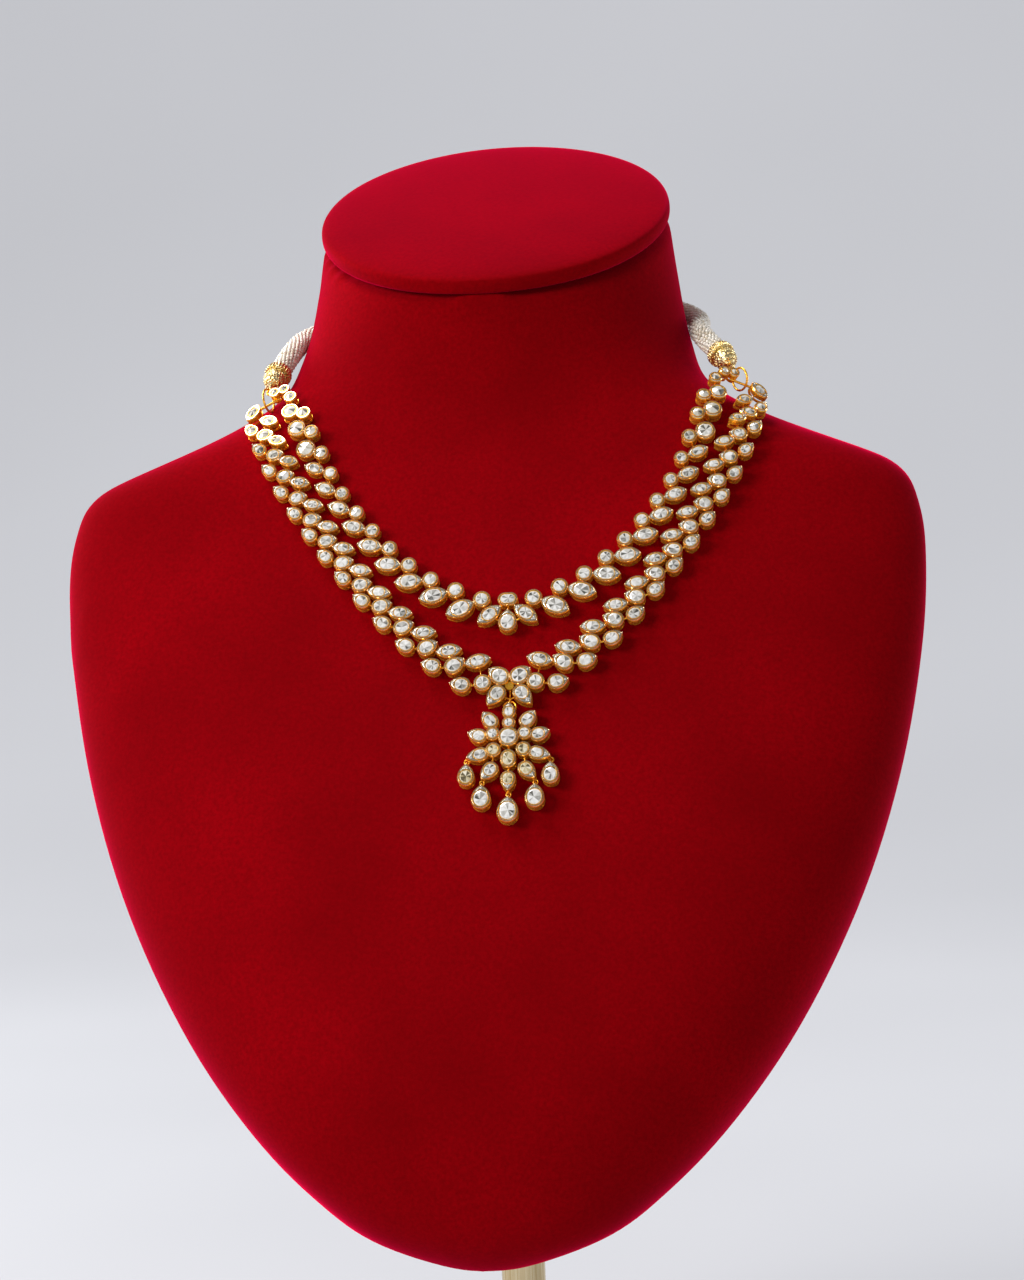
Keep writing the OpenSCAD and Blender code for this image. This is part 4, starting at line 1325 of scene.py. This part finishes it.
@dataclass(frozen=True)
class Studio:
    """Camera, soft lights and a pale paper sweep."""

    azimuth: float = 7.25
    elevation: float = 3.0
    roll: float = 2.48
    distance: float = 1.25
    aim: tuple[float, float, float] = (0.0, 0.0, 0.262)
    lens: float = 97.2
    centre: tuple[float, float] = (497.1, 660.3)
    frame: tuple[int, int] = (1024, 1280)

    def camera(self) -> None:
        """Sets the camera at the photograph's angle."""
        a, e, r = (math.radians(v) for v in (self.azimuth, self.elevation, self.roll))
        back = Vector((math.sin(a) * math.cos(e), -math.cos(a) * math.cos(e), math.sin(e)))
        right = Vector((0, 0, 1)).cross(back).normalized()
        up = back.cross(right)
        turned_right = right * math.cos(r) - up * math.sin(r)
        turned_up = right * math.sin(r) + up * math.cos(r)
        data = bpy.data.cameras.new("camera")
        data.sensor_fit = "VERTICAL"
        data.sensor_height = 36.0
        data.lens = self.lens
        data.clip_end = 50.0
        data.shift_x = (self.frame[0] / 2 - self.centre[0]) / self.frame[1]
        data.shift_y = (self.centre[1] - self.frame[1] / 2) / self.frame[1]
        camera = bpy.data.objects.new("camera", data)
        bpy.context.scene.collection.objects.link(camera)
        turn = Matrix((turned_right, turned_up, back)).transposed().to_4x4()
        camera.matrix_world = Matrix.Translation(Vector(self.aim) + back * self.distance) @ turn
        bpy.context.scene.camera = camera

    def lamp(self, name: str, place: tuple, target: tuple, size: float, power: float, colour: str) -> None:
        """Adds a soft lamp.

        Args:
            name: Its name.
            place: Where it stands.
            target: What it faces.
            size: Its width.
            power: Its power in watts.
            colour: Its colour.
        """
        data = bpy.data.lights.new(name, "AREA")
        data.shape = "DISK"
        data.size = size
        data.energy = power
        data.color = linear(colour)[:3]
        lamp = bpy.data.objects.new(name, data)
        bpy.context.scene.collection.objects.link(lamp)
        lamp.location = place
        lamp.rotation_euler = (Vector(place) - Vector(target)).to_track_quat("Z", "Y").to_euler()

    def build(self) -> None:
        """Sets up the whole studio."""
        self.camera()
        chest = (0.0, 0.0, 0.3)
        self.lamp("key", (-1.5, -1.15, 1.2), chest, 0.9, 30.0, "#FFFAF2")
        self.lamp("top", (-0.75, 0.1, 1.9), chest, 0.9, 26.0, "#FFFFFF")
        self.lamp("fill", (0.7, -1.8, 0.15), chest, 1.0, 5.0, "#FFF6EA")
        self.lamp("left_edge", (-1.4, 0.5, 0.7), chest, 0.8, 18.0, "#FFFFFF")
        self.lamp("right_edge", (1.4, 0.7, 0.5), chest, 0.8, 9.0, "#FFFFFF")
        world = bpy.data.worlds.new("studio")
        bpy.context.scene.world = world
        world.use_nodes = True
        world.node_tree.nodes.clear()
        sky = add(world.node_tree, "ShaderNodeBackground", {"Color": linear("#E9ECF2"), "Strength": 0.22})
        add(world.node_tree, "ShaderNodeOutputWorld", {"Surface": sky.outputs[0]})
        bpy.context.scene.view_settings.view_transform = "Standard"
        self.sweep()

    def sweep(self) -> None:
        """Hangs a paper sweep: a floor that curves up into a wall behind the bust."""
        bend, back, steps = 1.4, 1.2, 16
        side = [(-4.0, 0.0), (back, 0.0)]
        for k in range(1, steps + 1):
            turn = math.pi / 2 * k / steps
            side.append((back + bend * math.sin(turn), bend * (1 - math.cos(turn))))
        side.append((back + bend, 5.0))
        points = [(x, y, z) for y, z in side for x in (-5.0, 5.0)]
        faces = [(2 * k, 2 * k + 1, 2 * k + 3, 2 * k + 2) for k in range(len(side) - 1)]
        mesh = bpy.data.meshes.new("paper_sweep")
        mesh.from_pydata(points, [], faces)
        paper = bpy.data.objects.new("paper_sweep", mesh)
        bpy.context.scene.collection.objects.link(paper)
        only(dress(paper, StudioPaper().build()))
        bpy.ops.object.shade_smooth()


def stone_sets() -> list[StoneSet]:
    """Lists the parts of the necklace that carry stones."""
    sets = [
        StoneSet(f"{strand}_{side}", [f"{strand}_stones_{side}"], Body.BUST, seed=11 + 2 * a + b)
        for a, strand in enumerate(("inner", "outer"))
        for b, side in enumerate(SIDES)
    ]
    sets += [
        StoneSet(part, [f"{part}_stone_{k}" for k in range(1, 5)], Body.BUST, seed=21 + a)
        for a, part in enumerate(("inner_centre", "outer_centre"))
    ]
    lotus = ["pendant_stone"]
    lotus += [f"ring_stone_{k}" for k in range(1, 7)]
    lotus += [f"petal_stone_{k}" for k in range(1, 11)]
    darker = tuple(f"ring_stone_{k}" for k in (4, 5, 6)) + ("petal_stone_9", "petal_stone_10", "drop_stone_1")
    sets.append(StoneSet("pendant", lotus, Body.PENDANT, darker, 31))
    sets.append(StoneSet("drops", [f"drop_stone_{k}" for k in range(1, 6)], Body.PENDANT, darker, 41))
    return sets


def main() -> None:
    """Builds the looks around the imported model."""
    logging.basicConfig(level=logging.INFO)
    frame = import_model()
    nodes = frame["nodes"]
    Studio().build()
    finishes = Finishes.build()
    patterns = Patterns.build()
    GoldWork().build(nodes, finishes)
    NeckBust().build(nodes, finishes)
    for stones in stone_sets():
        stones.build(nodes, finishes, patterns)
    for side in SIDES:
        axis = PearlRope(side).build(nodes, finishes, patterns)
        BallCap(side).build(axis, finishes, patterns)


if __name__ == "__main__":
    main()
